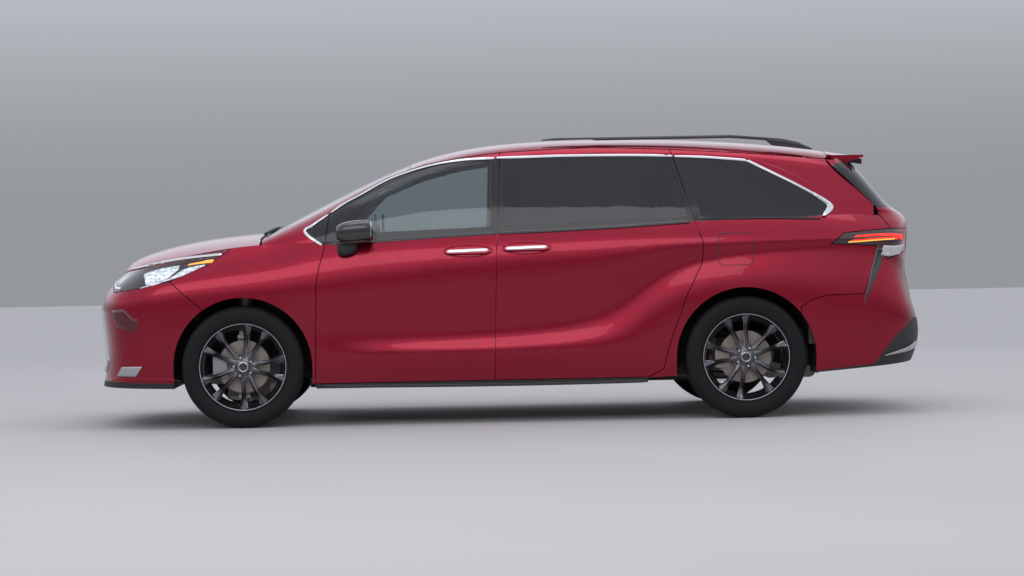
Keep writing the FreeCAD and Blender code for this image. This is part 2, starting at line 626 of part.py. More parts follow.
def hood_layer(thickness):
    """The hood's skin with a thickness below it."""
    outer = Part.BSplineSurface()
    outer.interpolate(hood_patch())
    return outer.toShape().extrude(V(0, 0, -thickness))


def above_hood():
    outer = Part.BSplineSurface()
    outer.interpolate(hood_patch())
    return outer.toShape().extrude(V(0, 0, HEIGHT))


HOOD_STEP = 16.0


def hood(skins):
    """A thin skin over a tray whose edges are set back."""
    skin = hood_layer(LIP_T).cut(skins.nose(-OVERRUN, 0)).common(plan_prism(hood_plan(SEAM), 0))
    tray = hood_layer(HOOD_T).cut(hood_layer(LIP_T / 2)).common(plan_prism(hood_plan(SEAM + HOOD_STEP), 0))
    return joined([skin, tray])


def hood_plan(inset):
    """The hood's outline in plan, an inset inside its patch."""
    rows = hood_patch()
    edge = [(p.x, p.y) for p in rows[0]]
    front = [(row[0].x, row[0].y) for row in rows]
    right = [(x, -y) for x, y in edge]
    ring = front + right[1:] + list(reversed(edge[1:]))
    inner = drawn_in(ring, inset)
    return [(x / HALF_L, y / HALF_W) for x, y in inner]


def door_lower_outline(front, rear):
    return [(front[0][0], 0.72)] + list(front) + list(reversed(rear)) + [(rear[0][0], 0.72)]


LIP_T = 8.0
DOOR_STEP = 14.0
HINGE_X = -1125.0
FRONT_FRAME_T = 26.0
THICK_FRAME_START = 520.0


def front_door(skins):
    """A thin outer skin over a box whose edges are set back, so that the door swings clear of its seams."""
    outline = door_lower_outline(fender_seam_shares, door_seam_shares)
    lip = skins.left(0, LIP_T).common(side_prism(outline))
    lower = skins.left(LIP_T / 2, DOOR_T).common(side_prism(outline, SEAM / 2 + DOOR_STEP))
    lower = lower.cut(box(-HALF_L, HINGE_X, -HALF_W, 0, 0, HEIGHT))
    upper_line = list(pillar_seam_shares) + list(roof_seam_shares[:4]) + [(-0.0290, 0.623)]
    top_lip = skins.roof(0, LIP_T).common(upper_prism(upper_line))
    inner = upper_prism(upper_line, SEAM / 2 + DOOR_STEP).cut(side_prism(front_window_shares, 0))
    upper = skins.roof(LIP_T / 2, FRONT_FRAME_T).common(inner)
    latch_side = skins.roof(LIP_T / 2, TOP_DOOR_T).common(inner)
    latch_side = latch_side.cut(box(-HALF_L, HINGE_X + THICK_FRAME_START, -HALF_W, 0, 0, HEIGHT))
    top_lip = top_lip.cut(side_prism(front_window_shares, 0))
    return joined([lip, lower, top_lip, upper, latch_side] + handle(skins, *front_handle_shares))


def sliding_door(skins):
    lower = skins.left(0, DOOR_T).common(side_prism(door_lower_outline(door_seam_shares, quarter_seam_shares)))
    upper_line = [(-0.0290, 0.623)] + list(roof_seam_shares[3:6]) + [(0.4375, 0.690), (0.4500, 0.623)]
    upper = skins.roof(0, TOP_DOOR_T).common(upper_prism(upper_line))
    upper = upper.cut(side_prism(sliding_window_shares, 0))
    return joined([lower, upper] + handle(skins, *sliding_handle_shares))


def quarter_panel(skins):
    outline = list(reversed(quarter_seam_shares)) + [(0.4375, 0.76), (0.8804, 0.76)] + list(gate_seam_shares[3:]) + [
        tail_lamp_shares[2], tail_lamp_shares[1], tail_lamp_shares[0]] + list(fin_shares) + list(rear_seam_shares[1:]) + [
        (0.6809, 0.150)]
    lower = skins.left(0, QUARTER_T).common(side_prism(outline))
    lower = lower.cut(wheel_arch(REAR_AXLE_X, ARCH_R + SEAM))
    upper_line = [(0.4500, 0.623), (0.4375, 0.690)] + list(roof_seam_shares[5:7]) + list(gate_seam_shares) + [
        (0.9043, 0.623)]
    upper = skins.roof(0, ROOF_T).common(upper_prism(upper_line))
    upper = upper.cut(side_prism(quarter_window_shares, 0))
    return joined([lower, upper])


def rocker_moulding(skins):
    outline = [(-0.4600, door_foot_share), (0.3191, door_foot_share), (0.3191, 0.10), (-0.4600, 0.10)]
    return skins.left(0, QUARTER_T).common(side_prism(outline))


def roof_panel(skins):
    outline = [(roof_front_share, outside_share), (roof_front_share, roof_corner_share)] + list(roof_seam_shares[1:]) + [
        (0.7650, 0.9150), (0.7650, outside_share)]
    return skins.roof(0, ROOF_T).common(through_prism(outline))


def windshield_outline():
    return [
        (windshield_front_share, -windshield_foot_share), (windshield_front_share, windshield_foot_share),
        (roof_front_share, windshield_head_share), (roof_front_share, -windshield_head_share)]


def windshield(skins):
    return skins.roof(GLASS_INSET, GLASS_INSET + GLASS_T).common(plan_prism(windshield_outline(), SEAT_GAP))


def side_glass(skins, shares):
    return skins.roof(GLASS_INSET, GLASS_INSET + GLASS_T).common(side_prism(shares, SEAT_GAP))


def side_frame(skins):
    """The left ring of the body: sill, pillars and the beam over the doors."""
    top_line = [
        (-0.500, 0.60), (-0.500, outside_share), (0.7500, outside_share),
        (0.7500, 0.87), (0.8600, 0.7333), (0.8600, 0.60)]
    top = skins.roof(TOP_FRAME_DEPTH, TOP_FRAME_INNER).common(side_prism(top_line, 0, outside_share, 0.58))
    top = top.cut(plan_prism(windshield_outline(), 0)).cut(skins.left(-OVERRUN, FRAME_DEPTH))
    for shares in (front_window_shares, sliding_window_shares, quarter_window_shares):
        top = top.cut(side_prism(shares, 0))
    ledge_line = [(roof_front_share, roof_corner_share)] + list(roof_seam_shares[1:-1])
    ledge_foot = [(x, z - LEDGE_T / HEIGHT) for x, z in reversed(ledge_line)]
    ledge_prism = side_prism(ledge_line + ledge_foot, SEAT_GAP - SEAM / 2, upper_inner_share - 0.008, 0.58)
    ledge = ledge_prism.cut(skins.roof(-OVERRUN, ROOF_T / 2))
    pillar_line = [
        (windshield_front_share, 0.55), (windshield_front_share, outside_share), (roof_front_share, outside_share),
        (roof_front_share, roof_corner_share), roof_seam_shares[0]] + list(reversed(pillar_seam_shares)) + [
        (pillar_seam_shares[0][0], 0.55)]
    pillar = skins.roof(0, TOP_FRAME_DEPTH + SEAM).common(side_prism(pillar_line, SEAM / 2, outside_share, 0.58))
    pillar = pillar.cut(plan_prism(windshield_outline(), 0)).cut(skins.left(-OVERRUN, BUMPER_T + SEAT_GAP))
    pillar = pillar.cut(skins.left(-OVERRUN, FRAME_DEPTH).common(side_prism(pillar_foot_shares, 0)))
    low_line = [(-0.4600, 0.72), (-0.4600, 0.135), (0.3600, 0.135), (0.4700, 0.50), (0.4700, 0.72)]
    low = skins.left(FRAME_DEPTH, FRAME_INNER).common(side_prism(low_line, 0))
    door_hole = [(-0.4000, 0.60), (-0.4100, 0.40), (-0.4000, 0.20), (-0.0800, 0.20), (-0.0700, 0.78), (-0.4000, 0.78)]
    slide_hole = [(0.0100, 0.20), (0.3000, 0.20), (0.3500, 0.40), (0.4050, 0.55), (0.4050, 0.78), (0.0100, 0.78)]
    low = low.cut(side_prism(door_hole, 0)).cut(side_prism(slide_hole, 0))
    low = low.cut(wheel_drum(REAR_AXLE_X, LINER_R + LINER_T + SEAT_GAP))
    return joined([top, ledge, pillar, low] + front_mounts(skins))


def gate_volume(gap):
    upper = list(gate_seam_shares) + [(outside_share, 0.654), (outside_share, 0.915), (0.7600, 0.9150)]
    return through_prism(upper, gap).fuse(end_prism(gate_lower_shares, 0.70, outside_share, gap))


def tailgate(skins):
    panel = skins.gate(0, GATE_T).common(gate_volume(SEAM / 2))
    panel = panel.cut(end_prism(gate_window_shares, 0.60, outside_share, 0))
    spoiler = skins.roof(0, ROOF_T * 0.6).common(plan_prism(
        [(0.7650, -0.60), (0.855, -0.56), (0.855, 0.56), (0.7650, 0.60)]))
    return joined([panel, spoiler])


def tailgate_glass(skins):
    layer = skins.gate(GLASS_INSET, GLASS_INSET + GLASS_T)
    return layer.common(end_prism(gate_window_shares, 0.60, outside_share, SEAT_GAP)).common(gate_volume(SEAM / 2))


def tail_lamp(skins):
    lamp = skins.tail(0, BUMPER_T).common(side_prism(tail_lamp_shares))
    return lamp.cut(gate_volume(-SEAM / 2))


def rear_bumper(skins):
    outline = [(0.6809, 0.3856)] + list(reversed(rear_seam_shares))[1:] + list(reversed(fin_shares))[1:] + [
        (0.8924, 0.546), (0.9533, 0.5776), (outside_share, 0.5776)] + list(reversed(valance_shares))[1:] + [
        (0.6809, 0.1560)]
    panel = skins.tail(0, BUMPER_T).common(through_prism(outline))
    panel = panel.cut(gate_volume(-SEAM / 2))
    return panel.cut(both_sides(wheel_arch(REAR_AXLE_X, ARCH_R + SEAM)))


def rear_valance(skins):
    panel = skins.tail(0, BUMPER_T).common(through_prism(list(valance_shares) + [(0.7153, 0.10)], SEAT_GAP - SEAM / 2))
    return panel.cut(both_sides(wheel_arch(REAR_AXLE_X, ARCH_R + SEAM)))



# Wheels. Each is drawn about its own centre, with y growing outwards.

WHEEL_Y = TRACK / 2
RIM_SEAT_R = RIM_R + 4.0
FLANGE_R = RIM_R + 14.0
FLANGE_T = 5.7
BEAD_Y = 100.0
BARREL_T = 12.0
HUB_R = 76.0
HUB_FACE_Y = 74.0
MOUNT_Y = 38.0
PILOT_R = 32.0
DISC_R = 160.0
DISC_HALF_T = 14.0
DISC_GAP = 6.0
HAT_R = 86.0
HAT_T = 10.0
CAP_R = 30.0
FRONT_WHEEL_TURN = 21.4
REAR_WHEEL_TURN = 59.0
SPOKE_PAIRS = 5
KINGPIN_INSET = 20.0
PIN_R = 10.0
EAR_LOW = DISC_R + 12.0
EAR_T = 20.0
ARM_T = 24.0
ARM_GAP = 2.0
HOUSING_R = 60.0
STUB_END_Y = 58.0
HOUSING_END_Y = 24.0
CARRIER_Y = -60.0
tyre_profile_shares = ((0.727, 0.851), (0.856, 1.0), (1.0, 0.760))
spoke_face_shares = ((0.20, 0.65), (0.48, 0.70), (0.80, 0.76), (0.985, 0.85))
spoke_back_shares = ((0.985, 0.60), (0.80, 0.50), (0.48, 0.40), (0.20, 0.36))


def revolved(profile):
    """A solid turned about the y axis from points of radius and y."""
    face = polygon([V(r, y, 0) for r, y in profile])
    return face.revolve(V(0, 0, 0), V(0, 1, 0), 360)


def tyre():
    seat = RIM_SEAT_R + SEAT_GAP
    half = TYRE_W / 2
    outer = [(seat, BEAD_Y)] + [(r * TYRE_R, y * half) for r, y in tyre_profile_shares]
    inner = [(r, -y) for r, y in reversed(outer)]
    return revolved(outer + inner)


def polar(radius, degrees):
    angle = math.radians(degrees)
    return V(radius * math.sin(angle), -HALF_W, radius * math.cos(angle))


def spoke_window(centre, foot_half, head_half):
    """A prism for the opening between two spokes, from its middle angle and half angles at the hub and rim."""
    low, high = HUB_R * 1.12, (RIM_SEAT_R - BARREL_T) * 0.985
    corners = [polar(low, centre - foot_half), polar(high, centre - head_half)]
    arc = Part.Arc(corners[1], polar(high, centre), polar(high, centre + head_half)).toShape()
    left = Part.makeLine(corners[0], corners[1])
    right = Part.makeLine(polar(high, centre + head_half), polar(low, centre + foot_half))
    foot = Part.makeLine(polar(low, centre + foot_half), corners[0])
    return Part.Face(Part.Wire([left, arc, right, foot])).extrude(V(0, 2 * HALF_W, 0))


def rim():
    half = TYRE_W / 2
    flange_end = BEAD_Y + SEAT_GAP + FLANGE_T
    flange_start = BEAD_Y + SEAT_GAP
    inner = RIM_SEAT_R - BARREL_T
    barrel = revolved([
        (inner, -flange_end), (FLANGE_R, -flange_end), (FLANGE_R, -flange_start), (RIM_SEAT_R, -flange_start),
        (RIM_SEAT_R, flange_start), (FLANGE_R, flange_start), (FLANGE_R, flange_end), (inner, flange_end)])
    face = [(r * RIM_SEAT_R, y * half) for r, y in spoke_face_shares]
    back = [(r * RIM_SEAT_R, y * half) for r, y in spoke_back_shares]
    dish = revolved(face + back)
    pitch = 360.0 / SPOKE_PAIRS
    for k in range(SPOKE_PAIRS):
        dish = dish.cut(spoke_window(k * pitch, 7, 10.5))
        dish = dish.cut(spoke_window((k + 0.5) * pitch, 13, 17.5))
    hub = revolved([
        (PILOT_R + RUN_GAP, MOUNT_Y), (HUB_R, MOUNT_Y), (HUB_R, HUB_FACE_Y - FLANGE_T), (HUB_R * 0.9, HUB_FACE_Y),
        (CAP_R, HUB_FACE_Y), (0, HUB_FACE_Y), (0, STUB_END_Y + ARM_GAP), (PILOT_R + RUN_GAP, STUB_END_Y + ARM_GAP)])
    disc = revolved([
        (PILOT_R + RUN_GAP, MOUNT_Y), (PILOT_R + RUN_GAP, MOUNT_Y - HAT_T), (HAT_R - HAT_T, MOUNT_Y - HAT_T),
        (HAT_R - HAT_T, -DISC_HALF_T), (DISC_R, -DISC_HALF_T), (DISC_R, DISC_HALF_T), (HAT_R, DISC_HALF_T),
        (HAT_R, MOUNT_Y)])
    return joined([barrel, dish, hub, disc])


def carrier():
    """The bearing housing, the stub that the wheel turns on, and the caliper."""
    housing = revolved([
        (0, CARRIER_Y), (HOUSING_R, CARRIER_Y), (HOUSING_R, HOUSING_END_Y), (PILOT_R, HOUSING_END_Y),
        (PILOT_R, STUB_END_Y), (0, STUB_END_Y)])
    reach = DISC_R * 1.16
    deep = DISC_HALF_T * 2.9
    caliper = box(-reach, -DISC_R * 0.62, -deep, deep, -DISC_R * 0.40, DISC_R * 0.40)
    slot = rod(DISC_R + DISC_GAP, V(0, -DISC_HALF_T - DISC_GAP, 0), V(0, DISC_HALF_T + DISC_GAP, 0))
    bracket = box(-DISC_R * 0.80, 0, CARRIER_Y, -deep * 0.7, -HOUSING_R * 0.6, HOUSING_R * 0.6)
    return [housing, caliper.cut(slot), bracket]


def knuckle():
    wide = HOUSING_R * 0.58
    upright = box(-wide, wide, CARRIER_Y, CARRIER_Y / 2, -EAR_LOW - EAR_T, EAR_LOW + EAR_T)
    pieces = carrier() + [upright]
    for side in (-1, 1):
        low, high = sorted((side * EAR_LOW, side * (EAR_LOW + EAR_T)))
        pieces.append(box(-wide, wide, CARRIER_Y, KINGPIN_INSET / 2, low, high))
        start = V(0, -KINGPIN_INSET, side * (EAR_LOW + EAR_T / 2))
        pieces.append(rod(PIN_R, start, V(0, -KINGPIN_INSET, side * (EAR_LOW + EAR_T + ARM_GAP + ARM_T))))
    return joined(pieces)


def placed(shape, x, side, turn=0):
    """A wheel's piece turned about its axle and moved there, with its outer face to the left for side -1."""
    turned = shape.mirror(V(0, 0, 0), V(0, 1, 0)) if side < 0 else shape.copy()
    turned.rotate(V(0, 0, 0), V(0, 1, 0), turn)
    turned.translate(V(x, side * WHEEL_Y, TYRE_R))
    return turned


# Structure under the skin

FLOOR_Z = 300.0
FLOOR_T = 45.0
REAR_FLOOR_Z = 520.0
RAIL_IN = 440.0
RAIL_OUT = 510.0
RAIL_Z = 400.0
RAIL_H = 95.0
TOWER_Z = 860.0
TOWER_T = 20.0
WALL_T = 20.0
LINER_R = ARCH_R + 8.0
LINER_T = 4.0
LINER_IN = 548.0
SUBFRAME_Z = 185.0
SUBFRAME_H = 60.0
STRUT_R = 26.0
STRUT_Y = 612.0
ARM_WAIST_Y = 640.0
firewall_share = -0.452
floor_rear_share = 0.42


def inside_left(skins, depth):
    """All that lies outside a depth below the left skin, to cut away."""
    return skins.left(-OVERRUN * 2, depth)


def wheel_drum(x, radius):
    """A drum about a left wheel, from outside the body to the inner end of its liner."""
    return Part.makeCylinder(radius, outside_share * HALF_W - LINER_IN + SEAT_GAP, V(x, -outside_share * HALF_W, TYRE_R), V(0, 1, 0))


def body_floor(skins):
    """The floor, bulkhead, front rails with their towers, and the panels behind both bumpers."""
    wide = HALF_W
    fire_x = firewall_share * HALF_L
    step_x = floor_rear_share * HALF_L
    end_x = REAR_AXLE_X + REAR_OVERHANG * 0.90
    nose_x = FRONT_AXLE_X - FRONT_OVERHANG * 0.86
    inner = LINER_IN - SEAT_GAP
    floor = box(fire_x, step_x, -wide, 0, FLOOR_Z - FLOOR_T, FLOOR_Z)
    bulkhead = box(fire_x, fire_x + WALL_T, -wide, 0, FLOOR_Z - FLOOR_T, HEIGHT * 0.60)
    step = box(step_x - WALL_T, step_x, -inner, 0, FLOOR_Z - FLOOR_T, REAR_FLOOR_Z)
    cabin = joined([floor, bulkhead, step]).cut(inside_left(skins, FRAME_INNER + SEAT_GAP))
    cabin = cabin.cut(wheel_drum(REAR_AXLE_X, LINER_R + LINER_T + SEAT_GAP))
    pan = joined([cabin, box(step_x - WALL_T, end_x, -inner, 0, REAR_FLOOR_Z - FLOOR_T, REAR_FLOOR_Z)])
    under = FLOOR_Z - FLOOR_T
    for x in (JACK_FRONT_X, JACK_REAR_X):
        pad = box(x - JACK_HALF, x + JACK_HALF, -JACK_Y - JACK_HALF, -JACK_Y + JACK_HALF, under - JACK_T, under)
        pan = joined([pan, pad])
    pan = joined([pan, mirrored(pan)])
    half = []
    half.append(box(nose_x, fire_x + WALL_T, -RAIL_OUT, -RAIL_IN, RAIL_Z, RAIL_Z + RAIL_H))
    tower0, tower1 = FRONT_AXLE_X - SUBFRAME_H * 2.4, FRONT_AXLE_X + SUBFRAME_H * 2.4
    half.append(box(tower0, tower1, -RAIL_OUT - WALL_T, -RAIL_OUT, RAIL_Z, TOWER_Z + TOWER_T))
    half.append(box(tower0, tower1, -STRUT_Y * 1.15, -RAIL_OUT, TOWER_Z, TOWER_Z + TOWER_T))
    post = box(nose_x, nose_x + RAIL_H, -RAIL_OUT, -RAIL_IN, RAIL_Z, bow_shares[0][3] * HEIGHT)
    half.append(post.cut(skins.nose(-OVERRUN, BUMPER_T + SEAT_GAP)))
    left = joined(half)
    bow = skins.nose(BUMPER_T + SEAT_GAP, BUMPER_T * 2.4)
    pieces = [left, mirrored(left)]
    for x0, x1, z0, z1 in bow_shares:
        pieces.append(bow.common(box(x0 * HALF_L, x1 * HALF_L, -wide, wide, z0 * HEIGHT, z1 * HEIGHT)))
    rear = skins.tail(BUMPER_T + SEAT_GAP, BUMPER_T * 2.4).common(through_prism(rear_panel_shares, 0))
    rear = rear.cut(gate_volume(-3 * SEAM))
    stop_x = FRONT_AXLE_X - FRONT_OVERHANG * 0.80
    stop = rod(STOP_R, V(stop_x, 0, bow_shares[0][2] * HEIGHT), V(stop_x, 0, HEIGHT * 0.60))
    pieces.append(stop.cut(hood_layer(HOOD_T + SEAT_GAP)).cut(above_hood()))
    latch_top = gate_lower_shares[0][1] * HEIGHT + SEAM / 2 - SEAT_GAP
    rear = joined([rear, box(LATCH_X, LATCH_X + 2 * STOP_R, -STOP_R, STOP_R, latch_top - LATCH_TALL, latch_top)])
    return pan, joined(pieces).cut(pan), rear.cut(pan)


# Jack pads under the floor

JACK_FRONT_X = -950.0
JACK_REAR_X = 700.0
JACK_Y = 680.0
JACK_HALF = 35.0
JACK_T = 8.0

# Latch and stop

LATCH_X = 2440.0
LATCH_TALL = 60.0
STOP_R = 14.0
bow_shares = ((-1.0, -0.70, 0.475, 0.505), (-1.0, -0.85, 0.255, 0.30))
rear_panel_shares = (
    (0.70, 0.255), (0.70, 0.36), (0.845, 0.415), (0.875, 0.58), (0.92, 0.645), (outside_share, 0.645),
    (outside_share, 0.255))


def front_mounts(skins):
    """Pads on the left side frame that doors and fender rest against, at the depths of their inner faces."""
    low = skins.left(DOOR_T + SEAT_GAP, FRAME_DEPTH + SEAM)
    pads = []
    for x, z in door_pad_shares:
        half = PAD / 2
        pads.append(low.common(box(
            x * HALF_L - half, x * HALF_L + half, -HALF_W, 0, z * HEIGHT - half, z * HEIGHT + half)))
    top = skins.roof(TOP_DOOR_T + SEAT_GAP, TOP_FRAME_DEPTH + SEAM)
    for x, z in top_pad_shares:
        half = PAD / 2
        pads.append(top.common(box(
            x * HALF_L - half, x * HALF_L + half, -HALF_W, -deep_share * HALF_W, z * HEIGHT - half,
            z * HEIGHT + half)))
    return pads


PAD = 24.0
door_pad_shares = ((-0.060, 0.40), (-0.430, 0.30), (-0.430, 0.50), (0.000, 0.40), (0.418, 0.60))
top_pad_shares = ((-0.150, 0.905), (0.100, 0.9450), (0.300, 0.9430))


def wheel_liner(skins, x, skin_depth, wall_share):
    """The liner over a left wheel, open where the axle comes through."""
    ring = Part.makeCylinder(LINER_R + LINER_T, HALF_W, V(x, -HALF_W, TYRE_R), V(0, 1, 0))
    ring = ring.cut(Part.makeCylinder(LINER_R, 2 * HALF_W, V(x, -2 * HALF_W, TYRE_R), V(0, 1, 0)))
    span = 2 * LINER_R
    keep = box(x - span, x + span, -HALF_W, -LINER_IN, TYRE_R * wall_share, HEIGHT)
    return ring.common(keep).cut(inside_left(skins, skin_depth + SEAT_GAP))


def wheel_liners(skins):
    front = wheel_liner(skins, FRONT_AXLE_X, BUMPER_T, 0.75)
    front = front.cut(rod(STRUT_R * 2.1 + SEAM, V(FRONT_AXLE_X, -STRUT_Y, TYRE_R), V(FRONT_AXLE_X, -STRUT_Y, HEIGHT)))
    rear = wheel_liner(skins, REAR_AXLE_X, QUARTER_T, 0.80)
    return Part.makeCompound([front, mirrored(front), rear, mirrored(rear)])


def mirror(skins):
    """The left door mirror: a rounded housing on a foot."""
    x0, x1 = MIRROR_X, MIRROR_X + MIRROR_DEEP
    y0, y1 = -HALF_W - MIRROR_OUT, -HALF_W + MIRROR_OUT * 0.42
    housing = box(x0, x1, y0, y1, MIRROR_Z, MIRROR_Z + MIRROR_TALL)
    housing = housing.makeFillet(MIRROR_DEEP * 0.27, housing.Edges)
    foot_outline = [
        V(x0 + MIRROR_DEEP * 0.35, 0, MIRROR_Z - MIRROR_TALL * 0.45), V(x1 - MIRROR_DEEP * 0.15, 0, MIRROR_Z - MIRROR_TALL * 0.45),
        V(x1 - MIRROR_DEEP * 0.25, 0, MIRROR_Z + MIRROR_TALL * 0.4), V(x0 + MIRROR_DEEP * 0.35, 0, MIRROR_Z + MIRROR_TALL * 0.4)]
    foot = polygon(foot_outline).extrude(V(0, y1 + MIRROR_OUT * 0.9 - y0, 0))
    foot.translate(V(0, y0 + MIRROR_OUT * 0.35, 0))
    foot = foot.cut(skins.left(-SEAT_GAP, OVERRUN * 3)).cut(skins.roof(-SEAT_GAP, OVERRUN * 2))
    whole = housing.fuse(foot)
    outer = max(whole.Solids, key=lambda solid: solid.Volume)
    return outer


MIRROR_X = -1050.0
MIRROR_DEEP = 215.0
MIRROR_Z = 1115.0
MIRROR_TALL = 150.0
MIRROR_OUT = 118.0


def handle(skins, x0, x1, z0, z1):
    """A pull handle that stands off the left skin on two feet."""
    bar = skins.left(-HANDLE_OUT, -HANDLE_OUT / 2).common(side_prism(
        [(x0, z0 + 0.004), (x0 + 0.004, z0), (x1 - 0.010, z0), (x1, z0 + 0.006), (x1 - 0.004, z1), (x0 + 0.004, z1)], 0))
    feet = []
    for a, b in ((x0 + 0.005, x0 + 0.022), (x1 - 0.026, x1 - 0.008)):
        foot = [(a, z0 + 0.003), (b, z0 + 0.003), (b, z1 - 0.003), (a, z1 - 0.003)]
        feet.append(skins.left(-HANDLE_OUT * 0.8, HANDLE_OUT * 0.5).common(side_prism(foot, 0)))
    return [bar] + feet


HANDLE_OUT = 30.0
front_handle_shares = (-0.150, -0.046, 0.594, 0.612)
sliding_handle_shares = (-0.014, 0.093, 0.602, 0.620)


def roof_rail(skins):
    """The left roof rail: a bar held off the roof by a foot at each end and one between."""
    near, far = rail_line_shares
    band = [(0.082, -near), (0.730, -near * 0.965), (0.730, -far * 0.965), (0.082, -far)]
    bar = skins.roof(-RAIL_LIFT, -RAIL_LIFT * 0.42).common(plan_prism(band, 0))
    feet = []
    for a, b in ((0.082, 0.135), (0.385, 0.415), (0.690, 0.730)):
        foot = [(a, -near + 0.0), (b, -near * 0.97), (b, -far * 0.98), (a, -far)]
        feet.append(skins.roof(-RAIL_LIFT * 0.5, -SEAT_GAP).common(plan_prism(foot, 0)).common(plan_prism(band, 0)))
    return joined([bar] + feet)


RAIL_LIFT = 34.0
rail_line_shares = (0.690, 0.655)


def rounded(shape, radius):
    """A block whose edges across the width are rounded."""
    return shape.makeFillet(radius, [e for e in shape.Edges if e.BoundBox.YLength > radius])


def profile_block(points, y0, y1):
    """A block across the width from an outline of places in x and z."""
    face = polygon([V(x, y0, z) for x, z in points])
    return face.extrude(V(0, y1 - y0, 0))


SEAT_H = 330.0
CUSHION_T = 130.0
CUSHION_LONG = 500.0
BACK_T = 120.0
BACK_H = 560.0
BACK_LEAN = 150.0
HEAD_H = 190.0
ROUND = 28.0


def seat(front_x, floor_z, y0, y1, low_share=1.0):
    """A seat: a pedestal, a cushion and a leaning back with its head restraint, each seated on the next."""
    top = floor_z + SEAT_H * low_share
    inset = (y1 - y0) * 0.14
    base = box(front_x + ROUND, front_x + CUSHION_LONG - ROUND, y0 + inset, y1 - inset, floor_z, top - SEAT_GAP)
    cushion = rounded(box(front_x, front_x + CUSHION_LONG, y0, y1, top, top + CUSHION_T), ROUND)
    back_x = front_x + CUSHION_LONG - BACK_LEAN * 0.5
    back_z = top + CUSHION_T + SEAT_GAP
    back = rounded(profile_block(
        [(back_x, back_z), (back_x + BACK_T, back_z), (back_x + BACK_T + BACK_LEAN, back_z + BACK_H),
         (back_x + BACK_LEAN, back_z + BACK_H)], y0, y1), ROUND)
    middle = (y0 + y1) / 2
    head_x = back_x + BACK_LEAN
    head_z = back_z + BACK_H + SEAT_GAP
    head = rounded(profile_block(
        [(head_x, head_z), (head_x + BACK_T, head_z), (head_x + BACK_T, head_z + HEAD_H), (head_x, head_z + HEAD_H)],
        middle - HEAD_H * 0.7, middle + HEAD_H * 0.7), ROUND)
    return base, cushion, back, head


def seats():
    """Front pair, middle pair and the rear bench."""
    rows = []
    for y0, y1 in ((-SEAT_OUT, -SEAT_IN), (SEAT_IN, SEAT_OUT)):
        rows += seat(FRONT_SEAT_X, FLOOR_Z + SEAT_GAP, y0, y1)
        rows += seat(MIDDLE_SEAT_X, FLOOR_Z + SEAT_GAP, y0, y1)
    rows += seat(REAR_SEAT_X, REAR_FLOOR_Z + SEAT_GAP, -BENCH_OUT, BENCH_OUT, 0.42)
    return Part.makeCompound(rows)


SEAT_OUT = 650.0
SEAT_IN = 150.0
BENCH_OUT = 540.0
FRONT_SEAT_X = -590.0
MIDDLE_SEAT_X = 330.0
REAR_SEAT_X = 1230.0


dash_shares = ((0, 0.40), (0, 0.585), (0.40, 0.628), (0.825, 0.612), (1, 0.56), (0.825, 0.42), (0.45, 0.38))
DASH_DEEP = 400.0
WHEEL_RING_R = 185.0
WHEEL_BAR_R = 15.0
STEER_Y = -400.0
STEER_REACH = 505.0
STEER_LEAN = 25.0
COLUMN_LONG = 175.0


def dashboard(skins):
    fire_x = firewall_share * HALF_L + WALL_T + SEAT_GAP
    outline = [(fire_x + x * DASH_DEEP, z * HEIGHT) for x, z in dash_shares]
    block = profile_block(outline, -HALF_W, 0).cut(inside_left(skins, FRAME_INNER + SEAM))
    block = block.cut(skins.roof(-OVERRUN, TOP_FRAME_INNER + SEAM))
    whole = block.fuse(mirrored(block)).removeSplitter()
    return whole.cut(steering_column(WHEEL_BAR_R * 1.8 + SEAT_GAP))


def leaned(shape):
    """A piece drawn about the steering axis, moved to the driver's place."""
    shape.rotate(V(0, 0, 0), V(0, 1, 0), 90.0 - STEER_LEAN)
    shape.translate(V(firewall_share * HALF_L + STEER_REACH, STEER_Y, HEIGHT * 0.575))
    return shape


def steering_wheel():
    """The driver's wheel on its column, leaning towards the seat."""
    corners = []
    for k in range(8):
        angle = math.radians(k * 45 + 22.5)
        corners.append(V(WHEEL_RING_R + WHEEL_BAR_R * math.cos(angle), 0, WHEEL_BAR_R * math.sin(angle)))
    ring = polygon(corners).revolve(V(0, 0, 0), V(0, 0, 1), 360)
    hub_r = WHEEL_RING_R * 0.36
    pieces = [ring, rod(hub_r, V(0, 0, -2 * WHEEL_BAR_R), V(0, 0, WHEEL_BAR_R * 0.4))]
    half = WHEEL_BAR_R * 0.9
    pieces.append(box(-half, half, -WHEEL_RING_R, WHEEL_RING_R, -WHEEL_BAR_R, 0))
    pieces.append(box(0, WHEEL_RING_R, -half, half, -WHEEL_BAR_R, 0))
    return leaned(joined(pieces)).fuse(steering_column(WHEEL_BAR_R * 1.8)).removeSplitter()


def steering_column(radius):
    """The column behind the wheel, as a bar of a given radius."""
    return leaned(rod(radius, V(0, 0, -COLUMN_LONG), V(0, 0, -WHEEL_BAR_R)))


BUSH_GAP = 5.0


